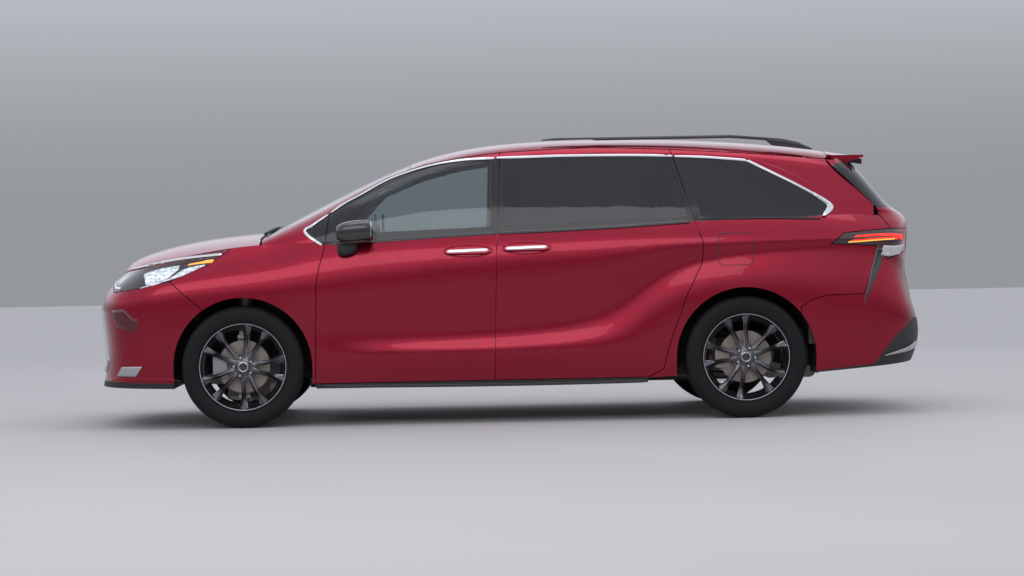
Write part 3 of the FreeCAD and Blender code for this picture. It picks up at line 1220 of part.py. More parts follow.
def front_suspension():
    """The subframe, both control arms and the strut of each side, on the body."""
    half_x = SUBFRAME_H * 2.2
    low, high = SUBFRAME_Z, SUBFRAME_Z + SUBFRAME_H
    frame = box(FRONT_AXLE_X - half_x, FRONT_AXLE_X + half_x, -RAIL_OUT + BUSH_GAP, RAIL_OUT - BUSH_GAP, low, high)
    pieces = [frame]
    pin_y = WHEEL_Y - KINGPIN_INSET
    reach = EAR_LOW + EAR_T + ARM_GAP
    wide = PIN_R * 2.4
    for side in (-1, 1):
        for corner in (-1, 1):
            x = FRONT_AXLE_X + corner * (half_x - PIN_R * 2)
            post = box(x - PIN_R * 2, x + PIN_R * 2, -RAIL_OUT + BUSH_GAP, -RAIL_IN - BUSH_GAP, high - ARM_GAP, RAIL_Z - SEAT_GAP)
            pieces.append(post if side < 0 else mirrored(post))
        z0 = TYRE_R - reach - ARM_T
        flank = [(half_x, RAIL_OUT - ARM_T), (wide * 1.7, ARM_WAIST_Y), (wide, pin_y), (wide * 0.5, pin_y + wide)]
        plan = [V(FRONT_AXLE_X - dx, -y, z0) for dx, y in flank]
        plan += [V(FRONT_AXLE_X + dx, -y, z0) for dx, y in reversed(flank)]
        arm = polygon(plan).extrude(V(0, 0, ARM_T))
        arm = arm.fuse(box(FRONT_AXLE_X - half_x, FRONT_AXLE_X + half_x, -RAIL_OUT + BUSH_GAP, -RAIL_IN, z0, low + ARM_T))
        strut_top = TYRE_R + reach
        link = box(FRONT_AXLE_X - wide, FRONT_AXLE_X + wide, -pin_y - wide, -STRUT_Y + STRUT_R, strut_top, strut_top + ARM_T)
        strut = rod(STRUT_R, V(FRONT_AXLE_X, -STRUT_Y, strut_top), V(FRONT_AXLE_X, -STRUT_Y, TOWER_Z - SEAT_GAP))
        hole = rod(PIN_R + RUN_GAP, V(FRONT_AXLE_X, -pin_y, 0), V(FRONT_AXLE_X, -pin_y, HEIGHT))
        spring = rod(STRUT_R * 2.1, V(FRONT_AXLE_X, -STRUT_Y, strut_top + ARM_T * 5), V(FRONT_AXLE_X, -STRUT_Y, TOWER_Z - SEAT_GAP))
        left_side = [arm.cut(hole), link.cut(hole).fuse(strut).fuse(spring)]
        pieces += left_side if side < 0 else [mirrored(p) for p in left_side]
    arms = [p for p in pieces]
    return arms


def front_suspension_node():
    pieces = front_suspension()
    lower = [p for p in pieces if p.BoundBox.ZMin < SUBFRAME_Z + SUBFRAME_H]
    upper = [p for p in pieces if p.BoundBox.ZMin >= SUBFRAME_Z + SUBFRAME_H]
    return Part.makeCompound([joined(lower)] + upper)


BEAM_R = 38.0
BEAM_AHEAD = 190.0
BEAM_DROP = 30.0
ARM_IN = 75.0
ARM_WIDE = 90.0
ARM_REAR = 60.0
ARM_LOW = 65.0
ARM_HIGH = 5.0
CARRIER_LAP = 3.0
SPRING_R = 50.0
SPRING_IN = 70.0
SHELF_HALF = 55.0
SHELF_T = 20.0
RUN_GAP = 0.08


def rear_suspension():
    """The twist beam with its trailing arms, hub carriers, springs and dampers."""
    arm_y = WHEEL_Y + CARRIER_Y
    beam_x = REAR_AXLE_X - BEAM_AHEAD
    beam_end = arm_y - ARM_IN
    pieces = [rod(BEAM_R, V(beam_x, -beam_end, TYRE_R - BEAM_DROP), V(beam_x, beam_end, TYRE_R - BEAM_DROP))]
    springs = []
    shelf_z = TYRE_R - SHELF_T
    for side in (-1, 1):
        pieces.append(placed(joined(carrier()), REAR_AXLE_X, side))
        y0, y1 = sorted((side * (arm_y + CARRIER_LAP), side * (arm_y - ARM_IN - SHELF_T)))
        y2, y3 = sorted((side * (arm_y - ARM_IN), side * (arm_y - ARM_IN - ARM_WIDE)))
        rear_x = REAR_AXLE_X + ARM_REAR
        pieces.append(box(REAR_AXLE_X - ARM_REAR, rear_x, y0, y1, TYRE_R - ARM_REAR, TYRE_R + ARM_REAR))
        pieces.append(box(beam_x - SHELF_HALF - ARM_WIDE, rear_x, y2, y3, TYRE_R - ARM_LOW, TYRE_R - ARM_HIGH))
        middle = side * (LINER_IN - SPRING_IN)
        x0, x1 = beam_x - SHELF_HALF, beam_x + SHELF_HALF
        pieces.append(box(x0, x1, middle - SHELF_HALF, middle + SHELF_HALF, shelf_z - SHELF_T, shelf_z))
        foot = V(beam_x, middle, shelf_z + SEAT_GAP)
        springs.append(rod(SPRING_R, foot, V(beam_x, middle, REAR_FLOOR_Z - FLOOR_T - SEAT_GAP)))
    return Part.makeCompound([joined(pieces)] + springs)


ENGINE_HALF = 270.0
ENGINE_TOP = 800.0
ENGINE_GAP = 25.0
SHAFT_R = 15.0
SHAFT_END = 96.0
PIPE_R = 30.0
PIPE_Z = 216.0
PIPE_Y = 120.0
PIPE_FRONT = 350.0
MUFFLER_X = 190.0
MUFFLER_LONG = 340.0
MUFFLER_WIDE = 560.0
MUFFLER_TALL = 180.0
STRAP_HALF = 15.0


def powertrain():
    """The engine and gearbox as one block, with both drive shafts."""
    wide_half = RAIL_IN - ENGINE_GAP
    foot = SUBFRAME_Z + SUBFRAME_H + SEAT_GAP
    block = box(FRONT_AXLE_X - ENGINE_HALF, FRONT_AXLE_X + ENGINE_HALF, -wide_half, wide_half, foot, ENGINE_TOP)
    reach = WHEEL_Y - SHAFT_END
    return joined([block, rod(SHAFT_R, V(FRONT_AXLE_X, -reach, TYRE_R), V(FRONT_AXLE_X, reach, TYRE_R))])


def exhaust():
    """The pipe under the floor with its silencer at the rear, hung by straps."""
    start, muffler_x = FRONT_AXLE_X + PIPE_FRONT, REAR_AXLE_X + MUFFLER_X
    pipe = rod(PIPE_R, V(start, PIPE_Y, PIPE_Z), V(muffler_x + STRAP_HALF, PIPE_Y, PIPE_Z))
    muffler = rounded(box(
        muffler_x, muffler_x + MUFFLER_LONG, PIPE_Y - MUFFLER_WIDE / 2, PIPE_Y + MUFFLER_WIDE / 2,
        PIPE_Z - STRAP_HALF, PIPE_Z - STRAP_HALF + MUFFLER_TALL), ROUND * 1.6)
    pieces = [pipe, muffler]
    for x, top in ((muffler_x + MUFFLER_LONG / 3, REAR_FLOOR_Z), (0, FLOOR_Z)):
        top_z = top - FLOOR_T - SEAT_GAP
        pieces.append(box(x - STRAP_HALF, x + STRAP_HALF, PIPE_Y - STRAP_HALF, PIPE_Y + STRAP_HALF, PIPE_Z, top_z))
    return joined(pieces)


def build_all():
    skins = Skins()
    parts = {}
    one_off = {
        "front_bumper": front_bumper, "front_splitter": front_splitter, "grille": grille, "hood": hood,
        "roof_panel": roof_panel, "windshield": windshield, "tailgate": tailgate, "tailgate_glass": tailgate_glass,
        "rear_bumper": rear_bumper, "rear_valance": rear_valance,
        "wheel_liners": wheel_liners, "dashboard": dashboard,
    }
    handed = {
        "front_fender": front_fender, "front_door": front_door, "sliding_door": sliding_door,
        "quarter_panel": quarter_panel, "side_frame": side_frame, "mirror": mirror,
    }
    paired = {
        "rocker_mouldings": rocker_moulding, "tail_lamps": tail_lamp, "headlamps": headlamp, "roof_rails": roof_rail,
    }
    for name, make in one_off.items():
        parts[name] = make(skins)
    parts["body_floor"], parts["front_frame"], parts["rear_frame"] = body_floor(skins)
    for name, make in handed.items():
        parts[name + "_left"] = make(skins)
        parts[name + "_right"] = mirrored(parts[name + "_left"])
    for name, make in paired.items():
        parts[name] = both_sides(make(skins))
    glass = side_glass(skins, front_window_shares)
    parts["front_door_glass_left"] = glass
    parts["front_door_glass_right"] = mirrored(glass)
    panes = [side_glass(skins, shares) for shares in (sliding_window_shares, quarter_window_shares)]
    parts["rear_side_glass"] = Part.makeCompound(panes + [mirrored(p) for p in panes])
    wheel_tyre, wheel_rim, front_knuckle = tyre(), rim(), knuckle()
    for where, x, turn in (("front", FRONT_AXLE_X, FRONT_WHEEL_TURN), ("rear", REAR_AXLE_X, REAR_WHEEL_TURN)):
        for hand, side in (("left", -1), ("right", 1)):
            parts["tyre_" + where + "_" + hand] = placed(wheel_tyre, x, side)
            parts["rim_" + where + "_" + hand] = placed(wheel_rim, x, side, turn)
    parts["knuckle_left"] = placed(front_knuckle, FRONT_AXLE_X, -1)
    parts["knuckle_right"] = placed(front_knuckle, FRONT_AXLE_X, 1)
    parts["front_suspension"] = front_suspension_node()
    parts["rear_suspension"] = rear_suspension()
    parts["powertrain"] = powertrain()
    parts["exhaust"] = exhaust()
    parts["seats"] = seats()
    parts["steering_wheel"] = steering_wheel()
    return parts


if __name__ == "__main__":
    os.makedirs("parts", exist_ok=True)
    for name, shape in build_all().items():
        if not shape.isValid():
            print("not valid:", name)
        shape.exportStep("parts/" + name + ".step")
        print(name, len(shape.Solids), round(shape.Volume / 1e6, 2))
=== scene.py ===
import json
import math

import bmesh
import bpy
import numpy as np
from mathutils import Matrix, Vector
from mathutils.bvhtree import BVHTree


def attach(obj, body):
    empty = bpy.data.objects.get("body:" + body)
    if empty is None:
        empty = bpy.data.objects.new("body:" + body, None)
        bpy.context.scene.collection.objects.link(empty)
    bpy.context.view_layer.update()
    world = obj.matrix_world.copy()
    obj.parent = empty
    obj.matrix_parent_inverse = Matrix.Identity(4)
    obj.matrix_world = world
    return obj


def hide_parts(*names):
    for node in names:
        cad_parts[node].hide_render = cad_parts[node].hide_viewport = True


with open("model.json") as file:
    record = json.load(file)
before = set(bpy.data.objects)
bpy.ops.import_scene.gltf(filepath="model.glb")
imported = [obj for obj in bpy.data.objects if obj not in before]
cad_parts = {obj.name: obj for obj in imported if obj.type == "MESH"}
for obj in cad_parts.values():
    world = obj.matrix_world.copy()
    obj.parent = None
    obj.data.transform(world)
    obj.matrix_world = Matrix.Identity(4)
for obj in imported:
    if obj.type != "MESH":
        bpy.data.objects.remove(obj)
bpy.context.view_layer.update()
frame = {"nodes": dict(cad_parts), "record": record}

bl_info = {
    "name": "Minivan dress",
    "version": (1, 0, 0),
    "blender": (4, 5, 0),
    "location": "View3D > Sidebar > Minivan",
    "description": "Adds paint, trim, lamps, wheels and cabin pieces to the minivan's solid model",
    "category": "Object",
}

NODES = frame["nodes"]
SIDES = (("left", -1.0), ("right", 1.0))
AXLE_HEIGHT = 0.3715
HALF_TRACK = 0.858
WHEELS = (
    ("front_left", -1.632, -1.0), ("front_right", -1.632, 1.0), ("rear_left", 1.428, -1.0),
    ("rear_right", 1.428, 1.0))


# Arithmetic on values that change over a surface.


def operation(kind, swapped=False):
    """A Field's method that adds a Math node. The operands are swapped where a number stands on the left."""

    def method(field, *others):
        values = (*others, field) if swapped else (field, *others)
        return field.finish.node("ShaderNodeMath", {"operation": kind}, *values)

    return method


class Field:
    """A socket in a material. Arithmetic on it adds Math nodes."""

    def __init__(self, finish, socket):
        self.finish = finish
        self.socket = socket

    __add__ = operation("ADD")
    __radd__ = operation("ADD", True)
    __sub__ = operation("SUBTRACT")
    __rsub__ = operation("SUBTRACT", True)
    __mul__ = operation("MULTIPLY")
    __rmul__ = operation("MULTIPLY", True)
    __truediv__ = operation("DIVIDE")
    __gt__ = operation("GREATER_THAN")
    __lt__ = operation("LESS_THAN")
    least = operation("MINIMUM")
    size = operation("ABSOLUTE")
    sine = operation("SINE")

    def step(self, low, high):
        """0 below low, 1 above high, and a smooth turn between them."""
        settings = {"interpolation_type": "SMOOTHSTEP"}
        return self.finish.node("ShaderNodeMapRange", settings, self, low, high, 0.0, 1.0)


class Finish:
    """One material, built node by node."""

    made = {}

    def __init__(self, name, tree=None):
        self.tree = tree
        self.places = None
        if tree is None:
            self.material = bpy.data.materials.new(name)
            self.material.use_nodes = True
            self.tree = self.material.node_tree
            self.shader = self.tree.nodes["Principled BSDF"]

    def put(self, socket, value):
        """Links a Field to a socket, or sets a plain value on it."""
        if isinstance(value, Field):
            self.tree.links.new(value.socket, socket)
        elif socket.type == "RGBA":
            socket.default_value = (*value[:3], 1.0)
        else:
            socket.default_value = value

    def node(self, kind, settings, *values, out=0, **named):
        """A node with its settings, then its inputs in order or by name."""
        made = self.tree.nodes.new(kind)
        for key, value in settings.items():
            setattr(made, key, value)
        for socket, value in zip(made.inputs, values):
            self.put(socket, value)
        for key, value in named.items():
            self.put(made.inputs[key.replace("_", " ")], value)
        return Field(self, made.outputs[out])

    def spot(self):
        """The point on the surface, in the object's own coordinates."""
        return self.node("ShaderNodeTexCoord", {}, out=3)

    def axes(self):
        """x, y and z of the point, in metres."""
        if self.places is None:
            split = self.node("ShaderNodeSeparateXYZ", {}, self.spot())
            self.places = [Field(self, o) for o in split.socket.node.outputs]
        return self.places

    def noise(self, scale, detail=2.0, rough=0.5):
        """Cloudy noise in the object's own coordinates."""
        return self.node(
            "ShaderNodeTexNoise", {}, Vector=self.spot(), Scale=scale, Detail=detail, Roughness=rough)

    def cells(self, scale, feature="F1"):
        """Cell pattern in the object's own coordinates."""
        return self.node("ShaderNodeTexVoronoi", {"feature": feature}, Vector=self.spot(), Scale=scale)

    def read(self, mask):
        """Cells for a mask of their feature and scale, or else noise of a scale, detail and roughness."""
        return self.cells(mask[1], mask[0]) if isinstance(mask[0], str) else self.noise(*mask)

    def curve(self, value, points):
        """A smooth line through points, read at a value."""
        made = self.node("ShaderNodeFloatCurve", {}, 1.0, value)
        mapping = made.socket.node.mapping
        mapping.use_clip = False
        line = mapping.curves[0]
        while len(line.points) < len(points):
            line.points.new(0.5, 0.5)
        for point, place in zip(line.points, points):
            point.location = place
            point.handle_type = "AUTO_CLAMPED"
        mapping.update()
        return made

    def mix(self, mask, low, high):
        """low where the mask is 0 and high where it is 1, for colours."""
        made = self.tree.nodes.new("ShaderNodeMix")
        made.data_type = "RGBA"
        for socket, value in ((made.inputs[0], mask), (made.inputs[6], low), (made.inputs[7], high)):
            self.put(socket, value)
        return Field(self, made.outputs[2])

    def bump(self, height, strength, distance, under=None):
        """A bent normal from a height, laid over another one where it is given."""
        named = {"Height": height, "Strength": strength, "Distance": distance}
        if under is not None:
            named["Normal"] = under
        return self.node("ShaderNodeBump", {}, **named)

    def set(self, **named):
        """Puts values on the shader's own sockets."""
        for key, value in named.items():
            self.put(self.shader.inputs[key.replace("_", " ")], value)
        return self.material


def finish(name):
    """A material by name, made once by the function of that name below."""
    if name not in Finish.made:
        Finish.made[name] = FINISHES[name](Finish(name))
    return Finish.made[name]


def paint_tone(share=1.0):
    """The body's colour, darkened to a share."""
    return tuple(c * share for c in bpy.context.scene.minivan_colours.paint)


def paint_coat(f, black):
    """Metallic colour with fine flake and low dust under clear coat, gloss black where the mask is 1."""
    tone = f.mix(f.noise(3.0) * 0.3 + f.cells(2600.0) * 0.3, paint_tone(), paint_tone(0.5))
    dust = (1.0 - f.axes()[2].step(0.15, 0.5)) * f.noise(14.0, 6.0, 0.7) * 0.1
    tone = f.mix(dust, tone, (0.16, 0.09, 0.07))
    tone = f.mix(black, tone, (0.004, 0.004, 0.005))
    return f.set(
        Base_Color=tone, Metallic=0.94 * (1.0 - black), Roughness=0.27 + dust * 1.2 - black * 0.17,
        Normal=f.bump(f.cells(5200.0), 0.02, 0.0004), Coat_Weight=1.0 - black * 0.8, Coat_Roughness=0.02,
        Coat_IOR=1.36)


def body_paint(f):
    """The body's paint, with the window frames gloss black between their two side lines."""
    x, y, z = f.axes()
    below = f.curve(x / BAND_SPAN + 0.5, BELT_LINE) - z
    above = z - f.curve(x / BAND_SPAN + 0.5, FRAME_LINE)
    return paint_coat(f, (below < 0.0) * (above < 0.0) * (y.size() > BAND_INNER))


def gate_paint(f):
    """The tailgate's paint: gloss black round the glass, from the belt up to the spoiler's lower edge."""
    x, _, z = f.axes()
    return paint_coat(f, (z > 1.268) * (z < x * 0.37 + 0.793) * (z < 1.575))


def deep_paint(f):
    """The body's colour as painted shade: darkened where a recess would shade it."""
    flake = f.cells(2600.0) * 0.4 + f.noise(3.0) * 0.4
    return f.set(
        Base_Color=f.mix(flake, paint_tone(0.35), paint_tone(0.12)), Metallic=0.6,
        Roughness=0.3 + f.noise(9.0) * 0.05, Coat_Weight=1.0, Coat_Roughness=0.03)


def clear_glass(f):
    """Clear, faintly green glass, with light dust at its foot."""
    dust = f.noise(30.0, 6.0, 0.7) * (1.0 - f.axes()[2].step(1.14, 1.3))
    return f.set(
        Base_Color=f.mix(dust * 0.5, (0.52, 0.6, 0.62), (0.44, 0.49, 0.5)), Roughness=dust * 0.06,
        Transmission_Weight=1.0, IOR=1.45)


def red_lens(f):
    """Moulded lens: smoked nearly black round the corner, red across the back, with fine vertical ribs."""
    x, y, _ = f.axes()
    ribs = ((x + y) * 900.0).sine() * 0.5 + 0.5
    red = f.mix(ribs, (0.42, 0.01, 0.014), (0.26, 0.005, 0.008))
    return f.set(
        Base_Color=f.mix(y.size().step(0.72, 0.8), red, (0.018, 0.003, 0.004)),
        Roughness=0.06 + f.noise(50.0) * 0.04, Coat_Weight=1.0, Coat_IOR=1.5)


def lamp_white(f):
    """The clear part of a rear lamp over bright reflectors."""
    x, _, z = f.axes()
    facets = ((x * 700.0).sine() * (z * 700.0).sine()) * 0.5 + 0.5
    return f.set(
        Base_Color=f.mix(facets, (0.7, 0.71, 0.73), (0.34, 0.33, 0.34)), Metallic=0.4,
        Roughness=0.12 + facets * 0.1, Coat_Weight=1.0, Coat_Roughness=0.02)


def lit_white(f):
    """A lit lamp of cut facets: each cell is brighter or dimmer than its neighbours."""
    facets = (f.cells(42.0) * 1.3 + (f.axes()[2] * 300.0).sine() * 0.15).least(1.0)
    return f.set(
        Base_Color=f.mix(facets, (0.42, 0.45, 0.5), (0.75, 0.77, 0.8)), Emission_Strength=0.45,
        Emission_Color=f.mix(facets, (0.1, 0.16, 0.26), (0.9, 0.95, 1.0)),
        Roughness=0.12 + f.noise(60.0) * 0.1, Coat_Weight=1.0)


def leather(f):
    """Dark leather: pebble grain, soft folds and a slight sheen."""
    folds = f.noise(8.0, 4.0)
    grain = f.bump(f.cells(420.0, "DISTANCE_TO_EDGE").least(0.25), 0.5, 0.0008)
    return f.set(
        Base_Color=f.mix(folds, (0.03, 0.028, 0.027), (0.05, 0.046, 0.043)), Roughness=0.46 + folds * 0.14,
        Normal=f.bump(folds, 0.3, 0.006, grain), Sheen_Weight=0.1)


def plain(mask, low, high, rough, gain, wear=None, relief=None, **sockets):
    """A finish of two tones that a mask mixes.

    Its roughness is rough + gain * wear, where wear is the mask unless another one is given.
    A relief is a mask with its strength and distance.
    """

    def build(f):
        tone = f.read(mask)
        worn = f.read(wear) if wear else tone
        if relief:
            sockets["Normal"] = f.bump(f.read(relief[0]), *relief[1:])
        return f.set(Base_Color=f.mix(tone, low, high), Roughness=worn * gain + rough, **sockets)

    return build


FINISHES = {
    # Moulded plastic with a fine leather-like grain.
    "black_plastic": plain(
        (18.0, 5.0, 0.6), (0.013, 0.013, 0.014), (0.026, 0.026, 0.028), 0.52, 0.16,
        relief=(("SMOOTH_F1", 900.0), 0.25, 0.0006), Specular_IOR_Level=0.45),
    # Piano black with faint orange peel.
    "gloss_black": plain(
        (7.0,), (0.005, 0.005, 0.006), (0.01, 0.01, 0.011), 0.1, 0.05, wear=(160.0,),
        relief=((160.0,), 0.02, 0.001), Coat_Weight=1.0, Coat_Roughness=0.03),
    # Bright plated trim with faint haze.
    "chrome": plain((40.0, 4.0), (0.78, 0.79, 0.81), (0.66, 0.67, 0.69), 0.06, 0.08, Metallic=1.0),
    # Satin silver paint.
    "silver_trim": plain(
        ("F1", 1800.0), (0.5, 0.51, 0.53), (0.38, 0.39, 0.41), 0.3, 0.06, Metallic=0.85, Coat_Weight=0.5,
        Coat_Roughness=0.1),
    # Privacy glass, tinted nearly black.
    "dark_glass": plain(
        (2.0, 1.0), (0.055, 0.068, 0.085), (0.08, 0.095, 0.115), 0.0, 0.02, wear=(25.0, 5.0),
        Transmission_Weight=1.0, IOR=1.52),
    # The clear moulded cover of a headlamp.
    "lamp_glass": plain(
        (20.0,), (0.93, 0.94, 0.95), (0.88, 0.9, 0.92), 0.0, 0.03, wear=(35.0, 4.0), Transmission_Weight=1.0,
        IOR=1.12, Coat_Weight=1.0, Coat_IOR=1.5),
    # Silvered mirror glass.
    "mirror_silver": plain(
        (12.0,), (0.86, 0.88, 0.9), (0.8, 0.82, 0.84), 0.015, 0.02, wear=(30.0,), Metallic=1.0),
    # A bare white sheet with road dust.
    "plate": plain((25.0, 5.0, 0.7), (0.62, 0.62, 0.61), (0.5, 0.48, 0.45), 0.42, 0.2),
    # Lit lamps.
    "lit_amber": plain(
        (90.0,), (0.9, 0.3, 0.03), (0.75, 0.2, 0.02), 0.25, 0.1, wear=(60.0,),
        Emission_Color=(1.0, 0.42, 0.06), Emission_Strength=1.1),
    "lit_red": plain(
        (90.0,), (0.6, 0.015, 0.01), (0.4, 0.01, 0.01), 0.25, 0.1, wear=(60.0,),
        Emission_Color=(1.0, 0.035, 0.012), Emission_Strength=0.85),
    # Dark sealed body steel with road dust.
    "sealed_steel": plain(
        (9.0, 6.0, 0.65), (0.022, 0.022, 0.024), (0.06, 0.052, 0.046), 0.55, 0.25,
        relief=((220.0, 3.0), 0.2, 0.001), Metallic=0.2),
    # Slightly rusted steel of the running gear.
    "plain_steel": plain(
        (26.0, 6.0, 0.7), (0.34, 0.32, 0.3), (0.22, 0.17, 0.13), 0.34, 0.3,
        relief=((300.0, 3.0), 0.15, 0.0008), Metallic=0.85),
    # Sand-cast aluminium.
    "cast_metal": plain(
        (180.0, 5.0, 0.6), (0.36, 0.36, 0.37), (0.25, 0.25, 0.26), 0.5, 0.15,
        relief=((180.0, 5.0, 0.6), 0.3, 0.001), Metallic=0.8),
    # Black rubber, greyer where it is scuffed.
    "tyre_rubber": plain(
        (35.0, 6.0, 0.7), (0.003, 0.003, 0.0035), (0.012, 0.012, 0.013), 0.55, 0.2,
        relief=((500.0, 3.0), 0.2, 0.0006), Specular_IOR_Level=0.22),
    # Dark metallic wheel paint.
    "wheel_paint": plain(
        ("F1", 2400.0), (0.11, 0.11, 0.12), (0.06, 0.06, 0.067), 0.24, 0.06, Metallic=1.0,
        Coat_Weight=1.0, Coat_Roughness=0.04),
    # Machined light metal, unevenly bright.
    "machined": plain(
        (60.0, 6.0), (0.7, 0.7, 0.74), (0.5, 0.5, 0.54), 0.16, 0.1, Metallic=1.0, Coat_Weight=0.3),
    # Pale floor.
    "backdrop": plain((0.6, 3.0), (0.42, 0.415, 0.41), (0.46, 0.455, 0.45), 0.75, 0.0),
}
for own in (body_paint, gate_paint, deep_paint, clear_glass, red_lens, lamp_white, lit_white, leather):
    FINISHES[own.__name__] = own

# Finishes of the slots that are not named alike, and of nodes that differ from their slot.

SLOT_FINISH = {
    "paint": "body_paint", "lamp": "lamp_glass", "red_lamp": "red_lens", "structure": "sealed_steel",
    "steel": "plain_steel", "cast": "cast_metal", "upholstery": "leather", "tyre": "tyre_rubber",
    "alloy": "wheel_paint"}
OWN_FINISH = {"tailgate": "gate_paint", "knuckle_left": "cast_metal", "knuckle_right": "cast_metal"}

# Side lines of the window band: share of its span along the vehicle, and height in metres.
# The band is black only farther out than BAND_INNER.

BAND_SPAN = 5.2
BAND_INNER = 0.55
BELT_LINE = (
    (0.2, 1.3), (0.2605, 1.2), (0.2679, 1.146), (0.2808, 1.102), (0.2902, 1.108), (0.3721, 1.127),
    (0.4188, 1.14), (0.484, 1.153), (0.5592, 1.166), (0.6296, 1.18), (0.6767, 1.1935), (0.7123, 1.202),
    (0.84, 1.216), (0.872, 1.228), (0.881, 1.27), (1.0, 1.27))
FRAME_LINE = (
    (0.2, 1.0), (0.2605, 1.19), (0.2673, 1.217), (0.2783, 1.2555), (0.2895, 1.292), (0.3076, 1.357),
    (0.3262, 1.407), (0.3566, 1.493), (0.3854, 1.547), (0.4162, 1.587), (0.4466, 1.608), (0.484, 1.615),
    (0.5606, 1.622), (0.6569, 1.617), (0.6952, 1.609), (0.7279, 1.599), (0.7577, 1.585), (0.7769, 1.575),
    (0.7842, 1.569), (0.7898, 1.555), (0.8, 1.527), (0.8156, 1.485), (0.8376, 1.425), (0.8598, 1.36),
    (0.8702, 1.328), (0.8769, 1.295), (0.8815, 1.265), (0.9, 1.2), (1.0, 1.0))


# Meshes from arrays.


def add_mesh(name, points, faces, material, smooth=True, closed=True, sharp=None, index=None):
    """A mesh object from points and faces, smooth where its edges turn little.

    A closed one loses doubled points and gets outward faces. Edges that turn more than sharp
    degrees stay sharp. Index gives each face its place among several materials.
    """
    mesh = bpy.data.meshes.new(name)
    places = np.asarray(points, float).reshape(-1, 3)
    mesh.from_pydata(places.tolist(), [], [[int(i) for i in f] for f in faces])
    mesh.update()
    for look in (material,) if isinstance(material, str) else material:
        mesh.materials.append(finish(look))
    mesh.polygons.foreach_set("use_smooth", np.full(len(mesh.polygons), smooth))
    if index is not None:
        mesh.polygons.foreach_set("material_index", index)
    if closed:
        work = bmesh.new()
        work.from_mesh(mesh)
        bmesh.ops.remove_doubles(work, verts=work.verts, dist=1e-6)
        bmesh.ops.recalc_face_normals(work, faces=work.faces)
        work.to_mesh(mesh)
        work.free()
        mesh.update()
    if sharp is not None:
        mesh.set_sharp_from_angle(angle=math.radians(sharp))
    made = bpy.data.objects.new(name, mesh)
    bpy.context.scene.collection.objects.link(made)
    return made


def ring_faces(rows, columns, close_rows=False, close_columns=False):
    """Four-sided faces over a grid of points that is numbered row by row."""
    r = np.arange(rows if close_rows else rows - 1)
    c = np.arange(columns if close_columns else columns - 1)
    r, c = np.meshgrid(r, c, indexing="ij")
    here, there = r * columns, (r + 1) % rows * columns
    after = (c + 1) % columns
    return np.stack([here + c, here + after, there + after, there + c], -1).reshape(-1, 4)


def shell_faces(rows, columns):
    """Faces of a closed shell from two like grids, the second numbered after the first."""
    n = rows * columns
    top = ring_faces(rows, columns)
    k = np.arange(n).reshape(rows, columns)
    loop = np.concatenate([k[0, :-1], k[:-1, -1], k[-1, :0:-1], k[:0:-1, 0]])
    after = np.roll(loop, -1)
    return np.concatenate([top, top[:, ::-1] + n, np.stack([loop, after, after + n, loop + n], -1)])


def rod(name, body, material, **looks):
    """A closed mesh over rings of points, rows by columns, with a flat face at each end."""
    rows, columns = body.shape[:2]
    first = np.arange(columns)
    faces = [*ring_faces(rows, columns, close_columns=True), first, first + (rows - 1) * columns]
    return add_mesh(name, body, faces, material, **looks)


def smooth_path(points, count):
    """A Catmull-Rom line through points, read at even steps of the parameter."""
    p = np.asarray(points, float)
    p = np.vstack([2 * p[0] - p[1], p, 2 * p[-1] - p[-2]])
    t = np.linspace(0, len(p) - 3 - 1e-9, count)
    k = t.astype(int)
    u = (t - k)[:, None]
    a, b, c, d = p[k], p[k + 1], p[k + 2], p[k + 3]
    square, cube = 2 * a - 5 * b + 4 * c - d, 3 * b - a - 3 * c + d
    return 0.5 * (2 * b + (c - a) * u + square * u ** 2 + cube * u ** 3)


def between(low, high, rows, columns):
    """A grid of points whose rows blend from the low line to the high line."""
    t = np.linspace(0, 1, rows)[:, None, None]
    return smooth_path(low, columns)[None] * (1 - t) + smooth_path(high, columns)[None] * t


def slot_of(node):
    """The material slot that the record gives a node."""
    return next(p["material_slot"] for p in frame["record"]["subparts"] if p["node"] == node)


# How lines are thrown: from where, how far beside each one, how much farther out counts as another
# surface, and how far in the nearest point is looked for where all miss.

THROW_FROM = 3.2
BESIDE = 0.007
PROUD = 0.004
MISS_DEPTH = 2.4


